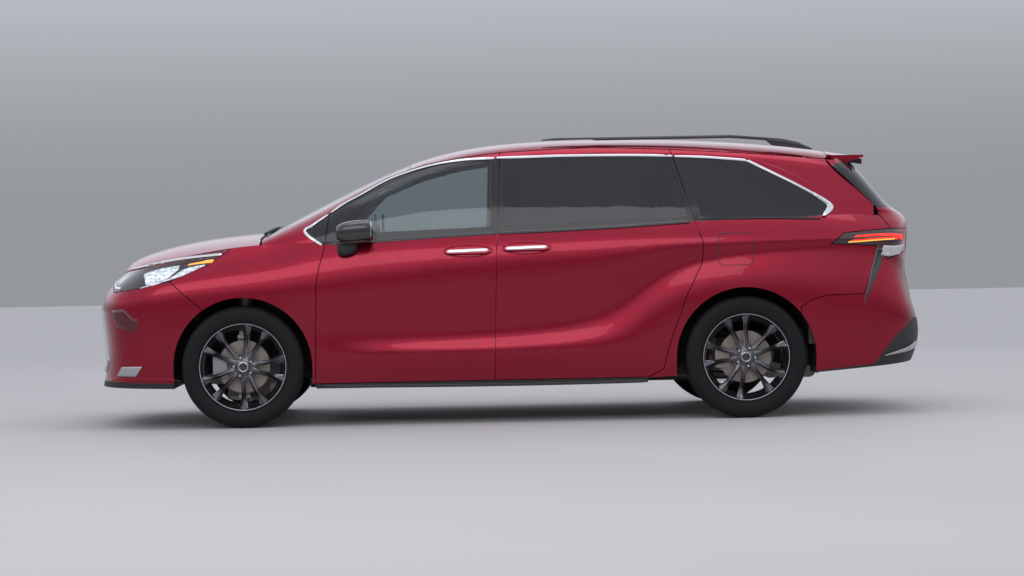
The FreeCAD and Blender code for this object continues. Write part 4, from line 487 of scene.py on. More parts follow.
class Skin:
    """All solids but the tyres as one surface that lines are thrown onto."""

    def __init__(self):
        points, faces, start = [], [], 0
        for name, node in NODES.items():
            if slot_of(name) == "tyre":
                continue
            mesh = node.data
            co = np.empty(len(mesh.vertices) * 3)
            mesh.vertices.foreach_get("co", co)
            points.extend(map(Vector, co.reshape(-1, 3)))
            faces.extend([tuple(start + i for i in p.vertices) for p in mesh.polygons])
            start += len(mesh.vertices)
        self.tree = BVHTree.FromPolygons(points, faces)

    def throw(self, path, axis, sign):
        """Points and outward normals where lines along an axis, from the sign's side, meet the skin.

        Lines beside each one are thrown too and the outermost is kept, so that open seams are bridged.
        """
        others = [k for k in range(3) if k != axis]
        way = Vector([-sign if k == axis else 0.0 for k in range(3)])
        points, normals = [], []
        for pair in path:
            best = None
            for da, db in ((0, 0), (BESIDE, 0), (-BESIDE, 0), (0, BESIDE), (0, -BESIDE)):
                start = Vector((0, 0, 0))
                start[axis] = sign * THROW_FROM
                start[others[0]], start[others[1]] = pair[0] + da, pair[1] + db
                place, normal, _, _ = self.tree.ray_cast(start, way)
                if place is not None and (best is None or (place[axis] - best[0][axis]) * sign > PROUD):
                    best = (place, normal)
            if best is None:
                best = self.tree.find_nearest(start + way * MISS_DEPTH)[:2]
            place, normal = best[0].copy(), best[1]
            place[others[0]], place[others[1]] = pair
            points.append(place)
            normals.append(-normal if normal.dot(way) > 0 else normal)
        return np.array(points), np.array(normals)


    def over(self, path, axis, sign, lift):
        """Points off the skin by the lift."""
        points, normals = self.throw(path, axis, sign)
        return points + normals * lift


def strip(name, line, width, height, material, sink=0.002, round_share=0.35, taper=0.0):
    """A moulding along a line on the skin, which is given by its points and normals.

    Its section is a half superellipse: across = width / 2 * cos a, up = height * sin(a) ** round_share,
    with its foot sunk below the skin. Near both ends the section shrinks by the taper's share.
    """
    points, normals = line
    normals = normals / np.linalg.norm(normals, axis=1)[:, None]
    along = np.gradient(points, axis=0)
    along /= np.linalg.norm(along, axis=1)[:, None]
    across = np.cross(normals, along)
    across /= np.linalg.norm(across, axis=1)[:, None]
    angle = np.linspace(0, math.pi, 9)
    flat = np.concatenate([np.cos(angle), [-1.0, 1.0]])
    lift = np.concatenate([np.sin(angle) ** round_share, [0.0, 0.0]])
    drop = np.concatenate([np.zeros(9), [-1.0, -1.0]])
    share = np.linspace(0, 1, len(points))
    scale = 1 - taper * (1 - np.minimum(1, np.minimum(share, 1 - share) / 0.12)) ** 2
    aside = flat * scale[:, None] * width / 2
    raised = lift * scale[:, None] * height + drop * sink
    body = points[:, None] + across[:, None] * aside[:, :, None] + normals[:, None] * raised[:, :, None]
    return rod(name, body, material)


def sheet(name, low, high, skin, axis, sign, material, lift, depth):
    """A plate on the skin between two lines. Its rows blend from the low line to the high line, are thrown
    onto the skin and moved out by the lift, and a second layer lies deeper by the depth."""
    points, normals = skin.throw(between(low, high, 7, 30).reshape(-1, 2), axis, sign)
    outer = points + normals * lift
    return add_mesh(name, [outer, outer - normals * depth], shell_faces(7, 30), material)


def fill(name, low, high, shift, material):
    """A thin closed piece between two lines in space, with its second layer moved by the shift.
    Lines that start at y = 0 are carried on to the other side."""
    if low[0][1] == 0:
        low, high = [[(x, -y, z) for x, y, z in line[:0:-1]] + list(line) for line in (low, high)]
    outer = between(low, high, 5, 24)
    return add_mesh(name, [outer, outer + np.array(shift)], shell_faces(5, 24), material)


def tube(name, points, radii, material):
    """A round rod along a line: at each point a circle of its radius, square to the line, with flat ends."""
    along = np.gradient(points, axis=0)
    along /= np.linalg.norm(along, axis=1)[:, None]
    side = np.cross(along, (0.31, 0.13, 0.94))
    side /= np.linalg.norm(side, axis=1)[:, None]
    up = np.cross(side, along)
    a = np.linspace(0, 2 * math.pi, 10, endpoint=False)[None, :, None]
    body = points[:, None] + radii[:, None, None] * (side[:, None] * np.cos(a) + up[:, None] * np.sin(a))
    return rod(name, body, material, sharp=50.0)


def egg(name, middle, half, rear, material):
    """A rounded shell: x = hx sin v, and y, z = their half sizes times cos(v) ** 0.5 round a squared
    circle, where v runs from nose to tail. It is cut off flat at the rear's share of hx."""
    v = np.linspace(-math.pi / 2, math.asin(rear), 26)[:, None]
    u = np.linspace(0, 2 * math.pi, 48, endpoint=False)[None, :]
    r = np.cos(v).clip(0) ** 0.5
    square = lambda c: np.sign(c) * np.abs(c) ** 0.72
    points = np.stack([
        middle[0] + half[0] * np.sin(v) + 0 * u, middle[1] + half[1] * r * square(np.cos(u)),
        middle[2] + half[2] * r * square(np.sin(u)) - 0.01 * (1 - np.sin(v)) + 0 * u], -1)
    return rod(name, points, material, sharp=50.0)


def rounded_box(x0, x1, z0, z1, r):
    """The closed outline of a box with round corners."""
    a = np.radians(np.arange(0, 91, 15))
    corners = ((x1 - r, z1 - r, 0), (x0 + r, z1 - r, 1), (x0 + r, z0 + r, 2), (x1 - r, z0 + r, 3))
    path = [(cx + r * math.cos(t + q * math.pi / 2), cz + r * math.sin(t + q * math.pi / 2))
            for cx, cz, q in corners for t in a]
    return path + path[:1]


def merge(name, parts):
    """One object from several."""
    with bpy.context.temp_override(active_object=parts[0], selected_editable_objects=parts, object=parts[0]):
        bpy.ops.object.join()
    parts[0].name = name
    parts[0].data.name = name
    return parts[0]


def turned(name, centre, sign, count, material, profile):
    """A profile of radius r and distance d outwards, turned about a wheel's axle: x = r cos a, z = r sin a,
    y = sign * d."""
    a = np.linspace(0, 2 * math.pi, count, endpoint=False)[:, None]
    r, d = np.asarray(profile, float).T
    points = np.stack([centre[0] + r * np.cos(a), centre[1] + sign * d + 0 * a, centre[2] + r * np.sin(a)], -1)
    faces = ring_faces(count, len(profile), close_rows=True, close_columns=True)
    return add_mesh(name, points, faces, material)


class MinivanColours(bpy.types.PropertyGroup):
    """Colours that a user would change."""

    paint: bpy.props.FloatVectorProperty(
        name="Paint", description="Colour of the body's metallic paint", subtype="COLOR", size=3,
        default=(0.34, 0.0008, 0.024), min=0.0, max=1.0)


class MinivanSizes(bpy.types.PropertyGroup):
    """Sizes that a user would change."""

    trim_width: bpy.props.FloatProperty(
        name="Bright trim width", description="Width of the bright line over the side windows", default=0.017,
        subtype="DISTANCE", unit="LENGTH")
    tyre_radius: bpy.props.FloatProperty(
        name="Tyre radius", description="Outer radius of the tyres", default=0.3715, subtype="DISTANCE",
        unit="LENGTH")


def sizes():
    """The sizes that the panel shows."""
    return bpy.context.scene.minivan_sizes


# Lamps: name, place, aim, width, height, power and whether bright surfaces mirror them.

LAMPS = (
    ("top", (0.3, -1.0, 6.5), (0, 0, 0.8), 7.0, 3.0, 80.0, True),
    ("side", (-2.0, -9.0, 4.5), (0.2, 0, 0.8), 9.0, 2.6, 105.0, False),
    ("shine", (-2.0, -9.0, 4.6), (0.2, 0, 0.8), 9.0, 2.6, 95.0, True),
    ("rear", (7.5, -3.0, 3.5), (1.5, 0, 0.8), 3.0, 3.0, 60.0, False),
    ("far", (0.0, 8.0, 4.5), (0, 0, 0.8), 8.0, 2.0, 60.0, False))

# Light from the horizon and from above, the floor's reach, and the camera: place, yaw with pitch and roll, lens
# and sensor.

HORIZON = (0.30, 0.31, 0.33)
SKY = (0.88, 0.90, 1.00)
FLOOR_REACH = 40.0
CAMERA_PLACE = (-0.337, -16.887, 1.058)
CAMERA_TURN = (0.0217, -0.015, -0.0194)
CAMERA_LENS = 92.27
CAMERA_SENSOR = 36.0


class MINIVAN_OT_stage(bpy.types.Operator):
    """Floor, soft studio light and camera."""

    bl_idname = "minivan.stage"
    bl_label = "Stage"

    def execute(self, context):
        scene = context.scene
        reach = FLOOR_REACH
        floor = add_mesh(
            "floor", [(-reach, -reach, 0), (reach, -reach, 0), (reach, reach, 0), (-reach, reach, 0)],
            [(0, 1, 2, 3)], "backdrop", closed=False)
        world = bpy.data.worlds.new("studio")
        scene.world = world
        world.use_nodes = True
        air = Finish("studio", world.node_tree)
        rise = air.node("ShaderNodeSeparateXYZ", {}, air.node("ShaderNodeTexCoord", {}, out=0), out=2)
        air.put(world.node_tree.nodes["Background"].inputs["Color"], air.mix(
            rise.step(0.01, 0.24), HORIZON, SKY))
        for name, place, aim, width, height, power, mirrored in LAMPS:
            lamp = bpy.data.lights.new(name, "AREA")
            lamp.shape = "RECTANGLE"
            lamp.size, lamp.size_y, lamp.energy = width, height, power
            made = bpy.data.objects.new(name, lamp)
            made.location = place
            made.rotation_mode = "QUATERNION"
            made.rotation_quaternion = (Vector(aim) - Vector(place)).to_track_quat("-Z", "Y")
            made.visible_glossy = mirrored
            scene.collection.objects.link(made)
        camera = bpy.data.cameras.new("camera")
        camera.sensor_width = CAMERA_SENSOR
        camera.lens = CAMERA_LENS
        camera.clip_end = 200.0
        eye = bpy.data.objects.new("camera", camera)
        scene.collection.objects.link(eye)
        yaw, pitch, roll = CAMERA_TURN
        turns = ((-yaw, "Z"), (math.pi / 2 + pitch, "X"), (roll, "Z"))
        aim, lift, twist = [Matrix.Rotation(angle, 3, axis) for angle, axis in turns]
        eye.rotation_mode = "QUATERNION"
        eye.rotation_quaternion = (aim @ lift @ twist).to_quaternion()
        eye.location = CAMERA_PLACE
        scene.camera = eye
        scene.view_settings.view_transform = "Standard"
        return {"FINISHED"}


class MINIVAN_OT_finishes(bpy.types.Operator):
    """Materials on every solid of the model."""

    bl_idname = "minivan.finishes"
    bl_label = "Finishes"

    def execute(self, context):
        for name, node in NODES.items():
            slots = node.data.materials
            wanted = finish(
                OWN_FINISH.get(name) or SLOT_FINISH.get(slot_of(name), slot_of(name)))
            if not len(slots):
                slots.append(wanted)
            for k in range(len(slots)):
                slots[k] = wanted
        return {"FINISHED"}


# Wheels. Radii and distances outwards from a wheel's middle plane.

TREAD_GROOVES = (0.019, 0.056)
SIDEWALL = (
    (0.2584, 0.0996), (0.269, 0.1), (0.27, 0.1062), (0.2745, 0.1095), (0.2775, 0.1085), (0.28, 0.1118),
    (0.29, 0.115), (0.305, 0.1168), (0.318, 0.1172), (0.319, 0.1164), (0.3215, 0.1164), (0.3225, 0.1168),
    (0.335, 0.1148), (0.348, 0.11), (0.356, 0.1052))
SHOULDER = ((0.36, 0.102), (0.3635, 0.0985), (0.3675, 0.0925), (0.3698, 0.085), (0.3706, 0.074))
PITCHES = 74
GROOVE_DEPTH = 0.0075
GROOVE_FOOT = 0.0036
GROOVE_MOUTH = 0.0046
CUT_DEPTH = 0.0055


def tyre(name, centre, sign):
    """A tyre: a section carried round the axle, with grooves as steps in its radius.

    The radius at the angle a is the section's radius less the groove's depth where the place in the pitch,
    the part after the point of (a * pitches / turn + slant * distance), is inside the groove.
    """
    half = [(r, d, 0.0) for r, d in SIDEWALL] + [(r, d, 1.0) for r, d in SHOULDER]
    inner, outer = TREAD_GROOVES
    top = sizes().tyre_radius
    half += [
        (top - 0.0006, 0.0635, 1.0), (top - 0.0006, outer + GROOVE_MOUTH, 0.9),
        (top - GROOVE_DEPTH, outer + GROOVE_FOOT, 0.0), (top - GROOVE_DEPTH, outer - GROOVE_FOOT, 0.0),
        (top - 0.0003, outer - GROOVE_MOUTH, 0.5), (top - 0.0002, 0.0375, 0.0),
        (top - 0.0001, inner + GROOVE_MOUTH, 0.5), (top - GROOVE_DEPTH - 0.0003, inner + GROOVE_FOOT, 0.0),
        (top - GROOVE_DEPTH - 0.0003, inner - GROOVE_FOOT, 0.0), (top, inner - GROOVE_MOUTH, 0.4),
        (top, 0.006, 0.0)]
    section = np.array(half + [(r, -d, b) for r, d, b in reversed(half)])
    places = np.array([0.0, 0.03, 0.17, 0.2, 0.6])
    turn = ((np.arange(PITCHES)[:, None] + places[None, :]) / PITCHES).ravel()
    radius, along, block = section.T
    slant = along * np.where(np.abs(along) > 0.05, 3.0, 6.0)
    place = (turn[:, None] * PITCHES + slant[None, :] + 0.015) % 1.0
    cut = ((place < 0.19) & (place > 0.005)) * block[None, :] * CUT_DEPTH
    cut = np.where(np.abs(along)[None, :] > 0.095, cut * 0.45, cut)
    r = radius[None, :] - cut
    a = turn[:, None] * 2 * math.pi
    points = np.stack([
        centre[0] + r * np.cos(a), centre[1] + sign * along[None, :] + 0 * a, centre[2] + r * np.sin(a)], -1)
    faces = ring_faces(len(turn), len(section), close_rows=True, close_columns=True)
    return add_mesh(name, points, faces, "tyre_rubber", sharp=38.0)


# Spokes: radius, with the distance outwards of the front and of the back at it.

SPOKE_RADII = (0.052, 0.09, 0.124, 0.165, 0.206, 0.254)
SPOKE_FACES = (0.0735, 0.077, 0.08, 0.0845, 0.089, 0.0985)
SPOKE_BACKS = (0.042, 0.044, 0.047, 0.053, 0.059, 0.07)


def spoke(name, middle, hand, centre, sign):
    """One spoke of a pair. Along the spoke the radius grows; across it the section has eight corners.

    The front has a bright bevel, a facet that climbs to a ridge and one that falls away to the other edge.
    """
    s = np.linspace(0, 1, 26)
    r = 0.056 + s * (0.2574 - 0.056)
    near = np.interp(r, (0.056, 0.1, 0.18, 0.2475), (1.0, 7.6, 9.4, 8.6))
    far = np.interp(r, (0.056, 0.085, 0.12, 0.18, 0.2475), (36.0, 26.0, 20.0, 18.6, 21.6))
    face = np.interp(r, SPOKE_RADII, SPOKE_FACES)
    back = np.interp(r, SPOKE_RADII, SPOKE_BACKS)
    ridge = np.interp(s, (0, 0.3, 0.62, 0.86, 1.0), (0.36, 0.38, 0.44, 0.56, 0.62))
    low = np.interp(s, (0, 0.35, 0.65, 1.0), (0.003, 0.01, 0.014, 0.01))
    fall = np.interp(s, (0, 0.35, 0.65, 1.0), (0.004, 0.009, 0.014, 0.016))
    width = far - near
    edge = 0.0028 / r * 180 / math.pi
    across = np.stack([
        near + edge * 0.2, near + edge, near + width * ridge, far - edge, far, far - width * 0.06,
        near + width * 0.06, near], -1)
    out = np.stack([
        face - low - 0.0026, face - low, face, face - fall, face - fall - 0.003, back + 0.002, back,
        face - low - 0.006], -1)
    a = np.radians(90.0 - (middle + hand * across))
    points = np.stack([
        centre[0] + r[:, None] * np.cos(a), centre[1] + sign * out, centre[2] + r[:, None] * np.sin(a)], -1)
    columns = np.tile(np.arange(8), 25)
    index = np.concatenate([(columns == 0) | (columns == 7), [0, 0]]).astype("i4")
    return rod(name, points, ("wheel_paint", "machined"), smooth=False, index=index)


# Turned pieces of a wheel: steps round the axle, finish, and the profile of radius and distance outwards.

BARREL = (120, "wheel_paint", (
    (0.2462, -0.1035), (0.258, -0.1058), (0.2678, -0.1045), (0.268, -0.1006), (0.2581, -0.1003), (0.256, -0.08),
    (0.248, -0.062), (0.248, 0.03), (0.2565, 0.06), (0.2581, 0.1003), (0.268, 0.1006), (0.2676, 0.104),
    (0.2655, 0.1056), (0.262, 0.1058), (0.2595, 0.104), (0.2572, 0.099), (0.253, 0.093), (0.2485, 0.086),
    (0.234, 0.064), (0.2245, 0.042), (0.224, 0.01), (0.24, -0.02), (0.24, -0.06), (0.244, -0.085)))
BRIGHT_EDGE = (120, "machined", (
    (0.2632, 0.1054), (0.2624, 0.1062), (0.2606, 0.1062), (0.2596, 0.1054), (0.2604, 0.1044), (0.2624, 0.1044)))
CUP = (24, "wheel_paint", (
    (0.0165, 0.06), (0.0165, 0.0715), (0.015, 0.0728), (0.0136, 0.0712), (0.0128, 0.06)))
NUT = (6, "chrome", (
    (0.0, 0.06), (0.0104, 0.06), (0.0104, 0.0725), (0.0092, 0.0765), (0.0062, 0.0795), (0.0, 0.0805)))
HUB = (60, "wheel_paint", (
    (0.0, 0.0405), (0.076, 0.0405), (0.076, 0.06), (0.072, 0.066), (0.04, 0.069), (0.0325, 0.0735),
    (0.03, 0.074), (0.0, 0.074)))
CAP = (48, "gloss_black", (
    (0.0, 0.0735), (0.0296, 0.0735), (0.03, 0.0765), (0.0285, 0.0785), (0.025, 0.0795), (0.012, 0.0805),
    (0.0, 0.0808)))
CAP_RING = (48, "chrome", (
    (0.028, 0.078), (0.0293, 0.0785), (0.029, 0.08), (0.0272, 0.0806), (0.0258, 0.0802), (0.0256, 0.0788)))
DISC = (96, "plain_steel", (
    (0.0325, 0.0378), (0.0325, 0.0285), (0.075, 0.0285), (0.075, -0.014), (0.16, -0.014), (0.16, -0.0035),
    (0.145, -0.0035), (0.145, 0.0035), (0.16, 0.0035), (0.16, 0.0138), (0.088, 0.0138), (0.086, 0.016),
    (0.086, 0.036), (0.084, 0.0378)))
NUT_CIRCLE = 0.0572
SPOKE_PAIRS = 5


def rim(name, centre, sign, turn):
    """A road wheel: barrel, pairs of spokes, hub with nuts and cap, and the brake disc with its hat."""
    parts = [turned(name, centre, sign, *shape) for shape in (BARREL, BRIGHT_EDGE, HUB, CAP, CAP_RING, DISC)]
    step = 360.0 / SPOKE_PAIRS
    for k in range(SPOKE_PAIRS):
        parts += [spoke(name, turn + step * k, hand, centre, sign) for hand in (-1, 1)]
        a = math.radians(90.0 - (turn + step * (k + 0.5)))
        spot = (centre[0] + NUT_CIRCLE * math.cos(a), centre[1], centre[2] + NUT_CIRCLE * math.sin(a))
        parts += [turned(name, spot, sign, *shape) for shape in (CUP, NUT)]
    return merge(name, parts)


class MINIVAN_OT_wheels(bpy.types.Operator):
    """Tyres with tread and road wheels with spokes, nuts and discs."""

    bl_idname = "minivan.wheels"
    bl_label = "Wheels"

    def execute(self, context):
        for where, x, sign in WHEELS:
            centre = (x, sign * HALF_TRACK, AXLE_HEIGHT)
            rubber = tyre("tread_" + where, centre, sign)
            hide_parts("tyre_" + where)
            wheel = rim("wheel_" + where, centre, sign, 21.4 if "front" in where else 59.0)
            wheel.data.set_sharp_from_angle(angle=math.radians(30.0))
            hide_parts("rim_" + where)
            for piece in (rubber, wheel):
                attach(piece, "wheel_" + where)
        return {"FINISHED"}


# Cabin. Seats stand where their solids do.

SEAT_ROWS = (
    ("front_seat_left", -0.59, -0.65, -0.15, 0.6303, 1.0), ("front_seat_right", -0.59, 0.15, 0.65, 0.6303, 1.0),
    ("middle_seat_left", 0.33, -0.65, -0.15, 0.6303, 1.0), ("middle_seat_right", 0.33, 0.15, 0.65, 0.6303, 1.0),
    ("rear_bench", 1.23, -0.54, 0.54, 0.6589, 0.42))
CUSHION = (0.5, 0.13)
BACK = (0.12, 0.56, 0.15)
HEAD_TALL = 0.19


def pad(name, middle, half, lean, channels, crown=0.1, bolster=0.0):
    """A crowned closed cushion: half its thickness at (u, v) is t (1 - |u|^8)^(1/8) (1 - |v|^8)^(1/8), raised
    towards its middle, with its outline drawn in between the corners, and a narrow dip along each sewn channel.

    middle and half are its centre and half sizes before it leans back about the y axis.
    """
    t = np.linspace(-1, 1, 61)
    even = np.sign(t) * (1 - (1 - np.abs(t)) ** 2.4)
    u, v = np.meshgrid(even, even, indexing="ij")
    lens = (1 - np.abs(u) ** 8).clip(0) ** 0.125 * (1 - np.abs(v) ** 8).clip(0) ** 0.125
    high = half[2] * lens * (1 - crown + crown * (1 - u * u) * (1 - v * v))
    x = half[0] * u * (1 - 0.022 * (1 - v * v))
    y = half[1] * v * (1 - 0.022 * (1 - u * u))
    dip = sum(np.exp(-((v - c) / 0.035) ** 2) for c in channels) if channels else 0 * u
    dip = dip + np.exp(-((np.abs(u) - 0.8) / 0.03) ** 2) * 0.8
    top = high * (1 - bolster) + half[2] * bolster * lens * np.clip((np.abs(v) - 0.5) / 0.3, 0, 1) ** 0.7
    top = top - dip * 0.007 * lens * (np.abs(u) < 0.9)
    sheet = [np.stack([x, y, top], -1), np.stack([x, y, -high], -1)]
    c, s = math.cos(lean), math.sin(lean)
    turn = np.array(((c, 0, s), (0, 1, 0), (-s, 0, c)))
    points = np.concatenate([p.reshape(-1, 3) for p in sheet]) @ turn.T + np.array(middle)
    faces = ring_faces(61, 61)
    return add_mesh(name, points, np.concatenate([faces, faces[:, ::-1] + 61 * 61]), "leather")


BOX_FACES = ((3, 2, 1, 0), (4, 5, 6, 7), (0, 1, 5, 4), (1, 2, 6, 5), (2, 3, 7, 6), (3, 0, 4, 7))


def block(name, low, high, material, edge=0.006):
    """A box with rounded edges, drawn in a little towards its top."""
    (x0, y0, z0), (x1, y1, z1) = low, high
    points = [
        (x, y, z) for z, k in ((z0, 0.0), (z1, edge)) for x, y in (
            (x0 + k, y0 + k), (x1 - k, y0 + k), (x1 - k, y1 - k), (x0 + k, y1 - k))]
    made = add_mesh(name, points, BOX_FACES, material)
    bevel = made.modifiers.new("edges", "BEVEL")
    bevel.width, bevel.segments = edge, 3
    return made


class MINIVAN_OT_seats(bpy.types.Operator):
    """Padded seats in three rows."""

    bl_idname = "minivan.seats"
    bl_label = "Seats"

    def execute(self, context):
        for name, x0, y0, y1, top, low in SEAT_ROWS:
            y, wide = (y0 + y1) / 2, (y1 - y0) / 2
            bench = wide > 0.4
            long, thick = CUSHION
            deep, tall, lean = BACK
            channels = (-0.62, -0.22, 0.22, 0.62) if bench else (-0.52, 0.52)
            angle = math.atan2(lean, tall)
            cushion = pad(
                name + "_cushion", (x0 + long / 2, y, top + thick / 2), (long / 2, wide, thick / 2), 0.0,
                channels, 0.12, 0.1)
            back_x, back_z = x0 + long - lean / 2, top + thick + 0.0003
            back = pad(
                name + "_back", (back_x + deep / 2 + lean / 2, y, back_z + tall / 2),
                (tall / 2 / math.cos(angle) * 0.985, wide * 0.985, deep / 2 * 0.94), angle + math.pi * 1.5,
                channels, 0.12, 0.1)
            pieces = [cushion, back]
            heads = (-0.62, 0.0, 0.62) if bench else (0.0,)
            for k, share in enumerate(heads):
                head_x, head_z = back_x + lean + deep / 2, back_z + tall + HEAD_TALL / 2
                pieces.append(pad(
                    "%s_head_%d" % (name, k), (head_x, y + share * wide, head_z),
                    (HEAD_TALL / 2, 0.125, deep * 0.42), math.pi * 1.5, (), 0.2))
            inset = (y1 - y0) * 0.14
            base = block(
                name + "_base", (x0 + 0.028, y0 + inset, top - 0.33 * low),
                (x0 + long - 0.028, y1 - inset, top + 0.02), "black_plastic")
            for piece in pieces + [base]:
                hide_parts("seats")
                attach(piece, "root")
        return {"FINISHED"}


# The quarter window's upper edge, as x and z.

QUARTER_EDGE = (
    (1.478, 1.569), (1.507, 1.555), (1.56, 1.527), (1.6412, 1.485), (1.7557, 1.425), (1.8707, 1.36))

# Trim on the left side, as lines of x and z: name, body, finish, width, height and points.

TRIMS = (
    ("pillar_line", "root", "chrome", 1.0, 0.0035, (
        (-1.14, 1.102), (-1.207, 1.146), (-1.243, 1.18), (-1.2385, 1.203), (-1.21, 1.217), (-1.153, 1.2555),
        (-1.1045, 1.287))),
    ("door_line", "front_door", "chrome", 1.0, 0.0035, (
        (-1.086, 1.3), (-1.0005, 1.357), (-0.904, 1.407), (-0.7455, 1.493), (-0.596, 1.547), (-0.436, 1.587),
        (-0.2775, 1.608), (-0.168, 1.613), (-0.081, 1.615))),
    ("slide_line", "root", "chrome", 1.0, 0.0035, (
        (-0.069, 1.617), (0.139, 1.619), (0.315, 1.622), (0.569, 1.621), (0.816, 1.617), (1.015, 1.609))),
    ("quarter_line", "root", "chrome", 1.0, 0.0075, (
        (1.027, 1.606), (1.185, 1.598), (1.34, 1.585), (1.44, 1.5755), *QUARTER_EDGE, (1.925, 1.328))),
    ("belt_front", "front_door", "gloss_black", 1.2, 0.004, (
        (-1.091, 1.1075), (-0.665, 1.127), (-0.422, 1.14), (-0.083, 1.153))),
    ("belt_slide", "root", "gloss_black", 1.2, 0.004, (
        (-0.067, 1.154), (0.308, 1.166), (0.674, 1.18), (0.919, 1.1935), (1.104, 1.202))),
    ("slide_track", "root", "black_plastic", 0.8, 0.001, (
        (1.147, 1.214), (1.2885, 1.2175), (1.5345, 1.2186), (1.779, 1.212), (1.905, 1.207))),
    ("lamp_brow", "root", "chrome", 1.0, 0.002, (
        (-2.33, 0.978), (-2.204, 1.001), (-2.073, 1.025), (-1.947, 1.042), (-1.824, 1.053), (-1.751, 1.058))),
    ("lip_line", "root", "body_paint", 1.3, 0.006, (
        (-2.46, 0.303), (-2.38, 0.306), (-2.3, 0.306), (-2.1, 0.3), (-1.95, 0.292))),
    ("sill_line", "root", "gloss_black", 1.1, 0.003, (
        (-1.15, 0.245), (-0.6, 0.236), (0.0, 0.232), (0.6, 0.234), (0.95, 0.24))),
)

# Plates on the left side: name, body, finish, lift over the skin, depth, the low and the high line of x, z.

PLATES = (
    ("lamp_shell", "root", "black_plastic", -0.026, 0.004, (
        (-2.385, 0.85), (-2.256, 0.872), (-2.07, 0.911), (-1.85, 1.003), (-1.762, 1.05)), (
        (-2.385, 0.95), (-2.25, 0.98), (-2.07, 1.012), (-1.85, 1.038), (-1.76, 1.052))),
    ("lamp_foot", "root", "lit_white", -0.005, 0.004, (
        (-2.2573, 0.862), (-2.1555, 0.8845), (-2.08, 0.907), (-2.0029, 0.93), (-1.9354, 0.958),
        (-1.8501, 0.996)), (
        (-2.2256, 0.8739), (-2.1561, 0.8945), (-2.0682, 0.9196), (-1.9924, 0.968), (-1.9337, 0.987),
        (-1.8553, 1.0003))),
    ("lamp_eye", "root", "lit_white", -0.014, 0.01, (
        (-2.2157, 0.8816), (-2.144, 0.9064), (-2.0785, 0.9282), (-2.042, 0.9617), (-2.02, 0.9804)), (
        (-2.2401, 0.9526), (-2.2055, 0.9673), (-2.1325, 0.9856), (-2.0693, 0.9957), (-2.0137, 1.003))),
    ("lamp_turn", "root", "lit_amber", -0.008, 0.006, (
        (-1.96, 1.0), (-1.9, 1.008), (-1.85, 1.012), (-1.81, 1.016)), (
        (-1.95, 1.008), (-1.88, 1.02), (-1.835, 1.03), (-1.8, 1.032))),
    # The pod's plate is painted shade: the body's colour darkened over the recess at the bumper's corner.
    ("pod_painted_shade", "root", "deep_paint", 0.001, 0.003, (
        (-2.4015, 0.6301), (-2.3677, 0.6151), (-2.3402, 0.6047), (-2.2736, 0.5946)), (
        (-2.4384, 0.7274), (-2.3915, 0.7308), (-2.3471, 0.7307), (-2.2967, 0.6769), (-2.2663, 0.6766))),
    ("vent", "root", "silver_trim", 0.004, 0.006, ((-2.4096, 0.3265), (-2.3511, 0.3243), (-2.2875, 0.3222)), (
        (-2.3738, 0.3827), (-2.3094, 0.3846), (-2.2446, 0.3844))),
    ("tail_top", "root", "lit_red", 0.0012, 0.003, (
        (2.1, 1.086), (2.209, 1.09), (2.3086, 1.092), (2.3695, 1.084), (2.4252, 1.066)), (
        (2.12, 1.1), (2.209, 1.105), (2.3086, 1.108), (2.3695, 1.106), (2.4252, 1.1))),
    ("tail_core", "root", "lit_amber", 0.0022, 0.003, (
        (2.0635, 1.0555), (2.1381, 1.058), (2.2098, 1.0625), (2.2992, 1.067), (2.365, 1.07)), (
        (2.068, 1.063), (2.1381, 1.0655), (2.2098, 1.07), (2.2992, 1.0745), (2.365, 1.078))),
    ("tail_red", "root", "lit_red", 0.0012, 0.003, (
        (2.08, 1.066), (2.1381, 1.068), (2.2098, 1.0725), (2.2992, 1.077), (2.385, 1.068)), (
        (2.095, 1.073), (2.1381, 1.075), (2.2098, 1.08), (2.2992, 1.085), (2.385, 1.085))),
    ("tail_clear", "root", "lamp_white", 0.0012, 0.003, (
        (2.2715, 0.9763), (2.3167, 0.968), (2.3526, 0.9715), (2.4028, 0.98)), (
        (2.29, 1.0343), (2.3527, 1.0308), (2.3987, 1.033), (2.44, 1.038))),
    ("fin", "root", "gloss_black", 0.001, 0.003, (
        (2.1488, 0.673), (2.1806, 0.799), (2.2172, 0.9293), (2.2466, 1.0252)), (
        (2.1552, 0.679), (2.2125, 0.8032), (2.2692, 0.9182), (2.29, 1.012))),
    ("front_post", "front_door", "gloss_black", 0.003, 0.004, (
        (-0.822, 1.122), (-0.814, 1.122), (-0.807, 1.122)), (
        (-0.822, 1.306), (-0.814, 1.308), (-0.807, 1.31))),
    ("quarter_bend", "root", "chrome", 0.0075, 0.006, (
        (1.87, 1.35), (1.928, 1.3073), (1.951, 1.2846), (1.9475, 1.2655), (1.931, 1.2425), (1.9145, 1.2185)), (
        (1.8707, 1.3683), (1.9517, 1.32), (1.9803, 1.2955), (1.991, 1.2719), (1.978, 1.2488), (1.936, 1.219))),
    ("valance_fin", "root", "silver_trim", 0.006, 0.008, (
        (2.2813, 0.3602), (2.3817, 0.3746), (2.4469, 0.385), (2.5, 0.4)), (
        (2.2903, 0.3661), (2.3808, 0.3921), (2.4435, 0.4104), (2.5, 0.438))),
)


# The spoiler's wedge in side view and its two sides, and the height of the roof rails over the roof.

WEDGE = ((2.006, 1.6), (2.212, 1.5985), (2.212, 1.585), (2.032, 1.535))
WEDGE_SIDES = (0.56, 0.64)
RAIL_RISE = (0.002, 0.01, 0.032, 0.036, 0.044, 0.034, 0.002)

# Skin over the quarter window's upper corner: just over the bright line, and along the roof's side.

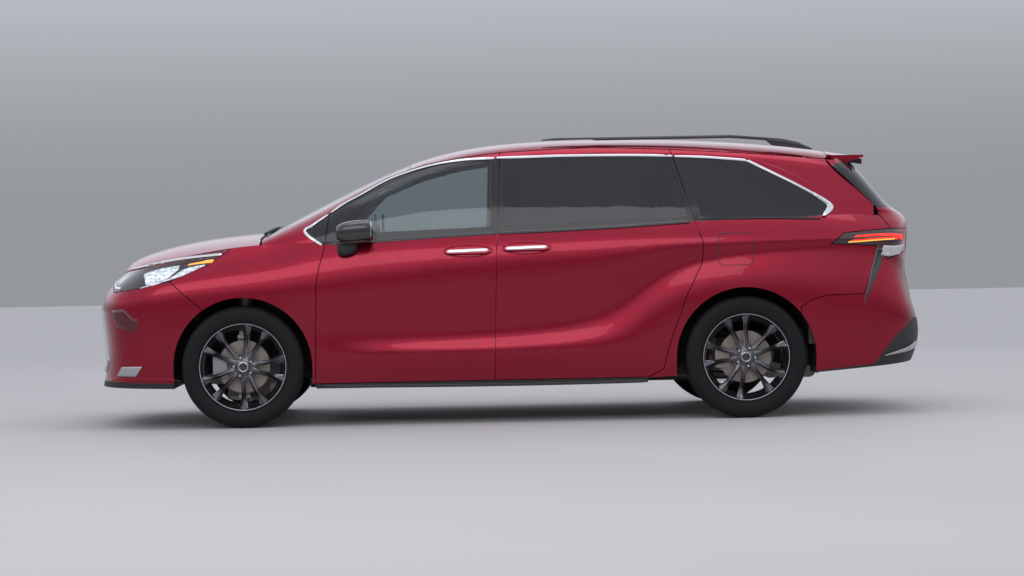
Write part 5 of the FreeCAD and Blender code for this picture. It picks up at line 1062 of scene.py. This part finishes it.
QUARTER_LOW = (
    (1.455, 1.577), *[(x, z + 0.002) for x, z in QUARTER_EDGE], (1.93, 1.327), (1.95, 1.312))
QUARTER_HIGH = (
    (1.455, 1.59), (1.49, 1.582), (1.535, 1.57), (1.6, 1.548), (1.68, 1.518), (1.79, 1.466), (1.885, 1.406),
    (1.945, 1.354), (1.968, 1.324))

# Inside the headlamps, as lines of y and z on the right side.

FRONT_PLATES = (
    ("lamp_back", "black_plastic", -0.026, ((0.47, 0.905), (0.55, 0.893), (0.65, 0.875), (0.76, 0.86)), (
        (0.47, 0.938), (0.55, 0.95), (0.65, 0.957), (0.76, 0.964))),
    ("lamp_bar", "lit_white", -0.006, ((0.5, 0.898), (0.6, 0.886), (0.7, 0.868), (0.785, 0.86)), (
        (0.5, 0.904), (0.6, 0.893), (0.7, 0.876), (0.785, 0.869))),
    ("lamp_reflector", "lamp_white", -0.016, ((0.57, 0.907), (0.64, 0.897), (0.71, 0.888)), (
        (0.57, 0.938), (0.64, 0.943), (0.71, 0.949))),
)


# The grille frame's corners on the right side from the top, as y and z, and how much it is widened.

GRILLE = ((0.399, 0.713), (0.469, 0.6), (0.638, 0.423), (0.598, 0.369))
GRILLE_MIDDLE = (0.0, 0.55)
GRILLE_GROWTH = 1.055

# Roof rails: half distance across the vehicle, both ends, highest point, and points and corners of a section.

RAIL_SIDE = 0.668
RAIL_ENDS = (0.215, 1.89)
RAIL_TOP = 1.7365
RAIL_POINTS = 140
RAIL_AROUND = 16


# Handles: name, body, middle in x and z. Mirrors: middle, half sizes and where the shell is cut.

HANDLES = (("front_handle", "front_door", -0.254, 1.0495), ("slide_handle", "root", 0.102, 1.0615))
HANDLE_CUP = (0.146, 0.036)
MIRROR_SHELL = ((-0.925, 1.031, 1.192), (0.125, 0.084, 0.068), 0.7)
MIRROR_FOOT = ((-0.985, 0.965, 1.098), (0.060, 0.062, 0.052), 1.0)
MIRROR_GLASS = (0.972, 1.090, 1.143, 1.240, 0.024)
MIRROR_LAYERS = (-0.8385, -0.8355)
FUEL_DOOR = (1.273, 1.476, 0.932, 1.127, 0.030)

# Wheel arches: ends of the walls' turn, inner and outer radius, and distance from the middle plane.

ARCH_TURN = (-14.0, 194.0)
ARCH_RADII = (0.215, 0.428)
ARCH_SIDE = {"front": 0.532, "rear": 0.546}
PLATE_THICK = 0.003

# Wipers of the windshield as x and y: name, pivot, tip of the arm, and both ends of the blade.

WIPERS = (
    ("left", (-1.496, -0.60), (-1.440, -0.13), (-1.478, -0.46), (-1.412, 0.18)),
    ("right", (-1.496, 0.02), (-1.445, 0.38), (-1.474, 0.10), (-1.424, 0.62)))
COWL = (-1.5165, 0.72)
NOSE_SLOT = (
    ((-2.459, 0.0, 0.915), (-2.453, 0.25, 0.915), (-2.430, 0.46, 0.915)),
    ((-2.429, 0.0, 0.950), (-2.419, 0.25, 0.950), (-2.390, 0.46, 0.950)))

# On the back, as y and z: the wiper's arm and blade, bands across the vehicle with their body, finish,
# width and height, and the tailgate's lamps.

REAR_ARM = ((0.0, 1.300), (0.16, 1.318), (0.34, 1.330))
REAR_BLADE = ((0.14, 1.312), (0.30, 1.325), (0.46, 1.332))
VALANCE_BAND = (
    "valance_band", "root", "silver_trim", 0.036, 0.008, (
        (-0.725, 0.4195), (-0.40, 0.4195), (0.40, 0.4195), (0.725, 0.4195)))
GATE_BAR = (
    "gate_bar", "tailgate", "chrome", 0.026, 0.005, (
        (-0.46, 1.108), (-0.30, 1.112), (0.30, 1.112), (0.46, 1.108)))
GATE_LAMP = (((0.465, 1.045), (0.55, 1.025), (0.628, 1.005)), ((0.465, 1.122), (0.55, 1.124), (0.628, 1.124)))


def seat(made, body, hand=""):
    """Fixes a piece to a body, the front door of its side where it is one."""
    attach(made, "front_door_" + hand if body == "front_door" else body)


def bare_plate(name, body, skin, sign, foot):
    """A plate without text, 0.30 m wide and 0.15 m high above its foot."""
    low, high = [[(-0.15, z), (0.15, z)] for z in (foot, foot + 0.15)]
    seat(sheet(name, low, high, skin, 0, sign, "plate", 0.004, 0.003), body)


class MINIVAN_OT_trim(bpy.types.Operator):
    """Bright and black mouldings, lamps' insides, handles, wipers, mirrors' glass and the grille's frame."""

    bl_idname = "minivan.trim"
    bl_label = "Trim"

    def execute(self, context):
        skin = Skin()
        for hand, sign in SIDES:
            self.side(skin, hand, sign)
        outline = np.array(rounded_box(*FUEL_DOOR))
        share = np.linspace(0, len(outline) - 1, 241)
        outline = np.stack([np.interp(share, np.arange(len(outline)), outline[:, k]) for k in (0, 1)], -1)
        seam = strip("fuel_door_seam", skin.throw(outline, 1, -1), 0.0045, 0.0009, "black_plastic")
        seat(seam, "root")
        self.rails(skin)
        self.arches()
        self.front(skin)
        self.back(skin)
        return {"FINISHED"}

    def side(self, skin, hand, sign):
        """Mouldings, plates, handles, the mirror and the quarter's skin of one side."""
        width = sizes().trim_width
        for name, body, look, share, height, path in TRIMS:
            line = skin.throw(smooth_path(path, 12 * len(path)), 1, sign)
            seat(strip("%s_%s" % (name, hand), line, width * share, height, look, taper=0.3), body, hand)
        for name, body, look, lift, depth, low, high in PLATES:
            seat(sheet("%s_%s" % (name, hand), low, high, skin, 1, sign, look, lift, depth), body, hand)
        for name, body, x, z in HANDLES:
            self.handle(skin, name, body, hand, sign, x, z)
        self.mirror(hand, sign)
        low = skin.over(smooth_path(QUARTER_LOW, 40), 1, sign, 0.006)
        high = skin.over(smooth_path(QUARTER_HIGH, 40), 1, sign, 0.0045)
        corner = fill("quarter_skin_" + hand, low, high, (0, -sign * 0.005, 0), "body_paint")
        seat(corner, "root")

    def handle(self, skin, name, body, hand, sign, x, z):
        """An oval cup with a bright bar over it."""
        a = np.linspace(0, 2 * math.pi, 49)
        long, tall = HANDLE_CUP
        points, normals = skin.throw(np.stack([x + long * np.cos(a), z + tall * np.sin(a)], -1), 1, sign)
        far = np.abs(points[:, 1])
        points[:, 1] = sign * np.minimum(far, np.median(far) + 0.006)
        cup = strip(
            "%s_cup_%s" % (name, hand), (points, normals), 0.009, 0.004, "body_paint", round_share=0.8)
        bar = smooth_path([(x - 0.128, z - 0.002), (x, z + 0.001), (x + 0.122, z + 0.004)], 30)
        points, normals = skin.throw(bar, 1, sign)
        points[:, 1] = sign * np.max(np.abs(points[:, 1]))
        grip = strip("%s_bar_%s" % (name, hand), (points, normals), 0.021, 0.003, "chrome", 0.004, 0.5, 0.5)
        for made in (cup, grip):
            seat(made, body, hand)

    def mirror(self, hand, sign):
        """The mirror's housing, foot and glass."""
        shell, foot = [
            egg(name + hand, (x, sign * y, z), half, cut, look) for name, ((x, y, z), half, cut), look in (
                ("mirror_shell_", MIRROR_SHELL, "gloss_black"), ("mirror_foot_", MIRROR_FOOT, "black_plastic"))]
        outline = np.array(rounded_box(*MIRROR_GLASS)[:-1])
        layers = [np.insert(outline * (sign, 1), 0, x, axis=1) for x in MIRROR_LAYERS]
        glass = rod("mirror_glass_" + hand, np.stack(layers), "mirror_silver", smooth=False)
        for made in (shell, foot, glass):
            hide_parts("mirror_" + hand)
            seat(made, "front_door", hand)

    def rails(self, skin):
        """Roof rails. Along x the top rises from the roof, runs level over it and falls back to it; the
        underside lies in the roof at both feet and follows the top between them. The section is a rounded
        box."""
        start, end = RAIL_ENDS
        x = np.linspace(start, end, RAIL_POINTS)
        a = np.linspace(0, 2 * math.pi, RAIL_AROUND, endpoint=False)
        across, up = [np.sign(v) * np.abs(v) ** 0.5 for v in (np.cos(a), np.sin(a))]
        parts = []
        for hand, sign in SIDES:
            roof = skin.throw(np.stack([x, 0 * x + sign * RAIL_SIDE], -1), 2, 1)[0][:, 2]
            roof = np.convolve(np.pad(roof, 6, mode="edge"), np.full(13, 1 / 13), mode="valid")
            top = np.minimum(roof + np.interp(x, (start, 0.3, 0.5, 0.6, 1.7, 1.8, end), RAIL_RISE), RAIL_TOP)
            foot = np.interp(x, (start, 0.52, 0.545, 1.6, 1.64, end), (1, 1, 0, 0, 1, 1))
            below = (roof - 0.006) * foot + (top - 0.021) * (1 - foot)
            half = np.interp(x, (start, 0.4, 1.75, end), (0.008, 0.0155, 0.0155, 0.008))
            body = np.stack([
                x[:, None] + 0 * across, sign * RAIL_SIDE + half[:, None] * across,
                (top + below)[:, None] / 2 + (top - below)[:, None] / 2 * up], -1)
            parts.append(rod("rail_" + hand, body, "gloss_black"))
        rail = merge("rails", parts)
        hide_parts("roof_rails")
        seat(rail, "root")

    def arches(self):
        """Dark walls behind the wheels, each a flat piece of a ring, and plates ahead of the front pair and
        behind the rear pair."""
        a = np.radians(np.linspace(*ARCH_TURN, 60))
        for where, x, sign in WHEELS:
            wall = ARCH_SIDE[where.split("_")[0]]
            rows = [
                np.stack([x + r * np.cos(a), 0 * a + sign * y, AXLE_HEIGHT + r * np.sin(a)], -1)
                for y in (wall, wall - PLATE_THICK) for r in ARCH_RADII]
            made = add_mesh("arch_wall_" + where, rows, shell_faces(2, 60), "black_plastic")
            seat(made, "root")
        aprons = [("front_apron", -2.085, (0.0, 0.36, 0.72), 0.232, 0.4)]
        aprons += [("rear_apron_" + hand, 1.868, [sign * y for y in (0.56, 0.73, 0.9)], 0.262, 0.47)
                   for hand, sign in SIDES]
        for name, x, across, foot, top in aprons:
            low, high = [[(x, y, z) for y in across] for z in (foot, top)]
            seat(fill(name, low, high, (PLATE_THICK, 0, 0), "black_plastic"), "root")

    def front(self, skin):
        """Grille frame, wipers, the cowl's seal, the slot over the grille, lamps' insides and a plate."""
        left = [(-y, z) for y, z in GRILLE]
        outline = np.array([left[0], *GRILLE, *reversed(left)])
        edges = [np.linspace(a, b, 14)[:-1] for a, b in zip(outline, outline[1:])]
        path = np.concatenate([*edges, outline[:1]])
        path = GRILLE_MIDDLE + (path - GRILLE_MIDDLE) * GRILLE_GROWTH
        seat(strip("grille_frame", skin.throw(path, 0, -1), 0.034, 0.01, "silver_trim"), "root")
        x, end = COWL
        seal = skin.throw(np.stack([np.full(60, x), np.linspace(-end, end, 60)], -1), 2, 1)
        seat(strip("cowl_seal", seal, 0.022, 0.005, "black_plastic", 0.006), "root")
        for name, pivot, tip, low, high in WIPERS:
            bend = ((pivot[0] + tip[0]) / 2 + 0.01, (pivot[1] + tip[1]) / 2)
            self.wiper(skin, "wiper_arm_" + name, "root", (pivot, bend, tip), 2, 0.014, (0.01, 0.005))
            self.wiper(skin, "wiper_blade_" + name, "root", (low, tip, high), 2, 0.007, (0.006, 0.006))
        slot = fill("nose_slot", *NOSE_SLOT, (0.004, 0, -0.002), "gloss_black")
        seat(slot, "root")
        for hand, sign in SIDES:
            for name, look, lift, low, high in FRONT_PLATES:
                low, high = [[(sign * y, z) for y, z in line] for line in (low, high)]
                seat(sheet("%s_%s" % (name, hand), low, high, skin, 0, -1, look, lift, 0.004), "root")
        bare_plate("front_plate", "root", skin, -1, 0.435)

    def wiper(self, skin, name, body, path, axis, lift, radii, count=30):
        """A rod over glass, its radius running evenly from the first to the last."""
        points = skin.over(smooth_path(path, count), axis, 1, lift)
        seat(tube(name, points, np.linspace(*radii, count), "black_plastic"), body)

    def back(self, skin):
        """Rear wiper, plate, bright bar and lamps of the tailgate, spoiler wedges and the valance's band."""
        self.wiper(skin, "rear_wiper", "tailgate", REAR_ARM, 0, 0.012, (0.013, 0.005), 24)
        self.wiper(skin, "rear_blade", "tailgate", REAR_BLADE, 0, 0.007, (0.006, 0.006), 24)
        bare_plate("rear_plate", "tailgate", skin, 1, 0.8)
        self.band(skin, *VALANCE_BAND)
        for hand, sign in SIDES:
            rows = [[(x, sign * y, z) for x, z in WEDGE] for y in WEDGE_SIDES]
            made = add_mesh("spoiler_side_" + hand, rows, BOX_FACES, "body_paint", smooth=False)
            seat(made, "tailgate")
        self.band(skin, *GATE_BAR)
        for hand, sign in SIDES:
            low, high = [[(sign * y, z) for y, z in line] for line in GATE_LAMP]
            lamp = sheet("gate_lamp_" + hand, low, high, skin, 0, 1, "red_lens", 0.003, 0.004)
            seat(lamp, "tailgate")

    def band(self, skin, name, body, look, width, height, path):
        """A strip over the back along a line of y and z."""
        seat(strip(name, skin.throw(smooth_path(path, 60), 0, 1), width, height, look), body)


class MINIVAN_PT_panel(bpy.types.Panel):
    """Lists the steps and the values they read."""

    bl_label = "Minivan"
    bl_idname = "MINIVAN_PT_panel"
    bl_space_type = "VIEW_3D"
    bl_region_type = "UI"
    bl_category = "Minivan"

    def draw(self, context):
        for group in (context.scene.minivan_colours, context.scene.minivan_sizes):
            for key in group.__annotations__:
                self.layout.prop(group, key)
        for step in STEPS:
            self.layout.operator(step.bl_idname)


STEPS = (MINIVAN_OT_stage, MINIVAN_OT_finishes, MINIVAN_OT_wheels, MINIVAN_OT_seats, MINIVAN_OT_trim)
CLASSES = (MinivanColours, MinivanSizes, *STEPS, MINIVAN_PT_panel)


def register():
    """Adds the classes and the two groups of values."""
    for kind in CLASSES:
        bpy.utils.register_class(kind)
    bpy.types.Scene.minivan_colours = bpy.props.PointerProperty(type=MinivanColours)
    bpy.types.Scene.minivan_sizes = bpy.props.PointerProperty(type=MinivanSizes)


def unregister():
    """Takes them away again."""
    del bpy.types.Scene.minivan_sizes
    del bpy.types.Scene.minivan_colours
    for kind in reversed(CLASSES):
        bpy.utils.unregister_class(kind)


def main():
    """Runs every step in order."""
    register()
    for step in STEPS:
        group, action = step.bl_idname.split(".")
        getattr(getattr(bpy.ops, group), action)()


if __name__ == "__main__":
    main()
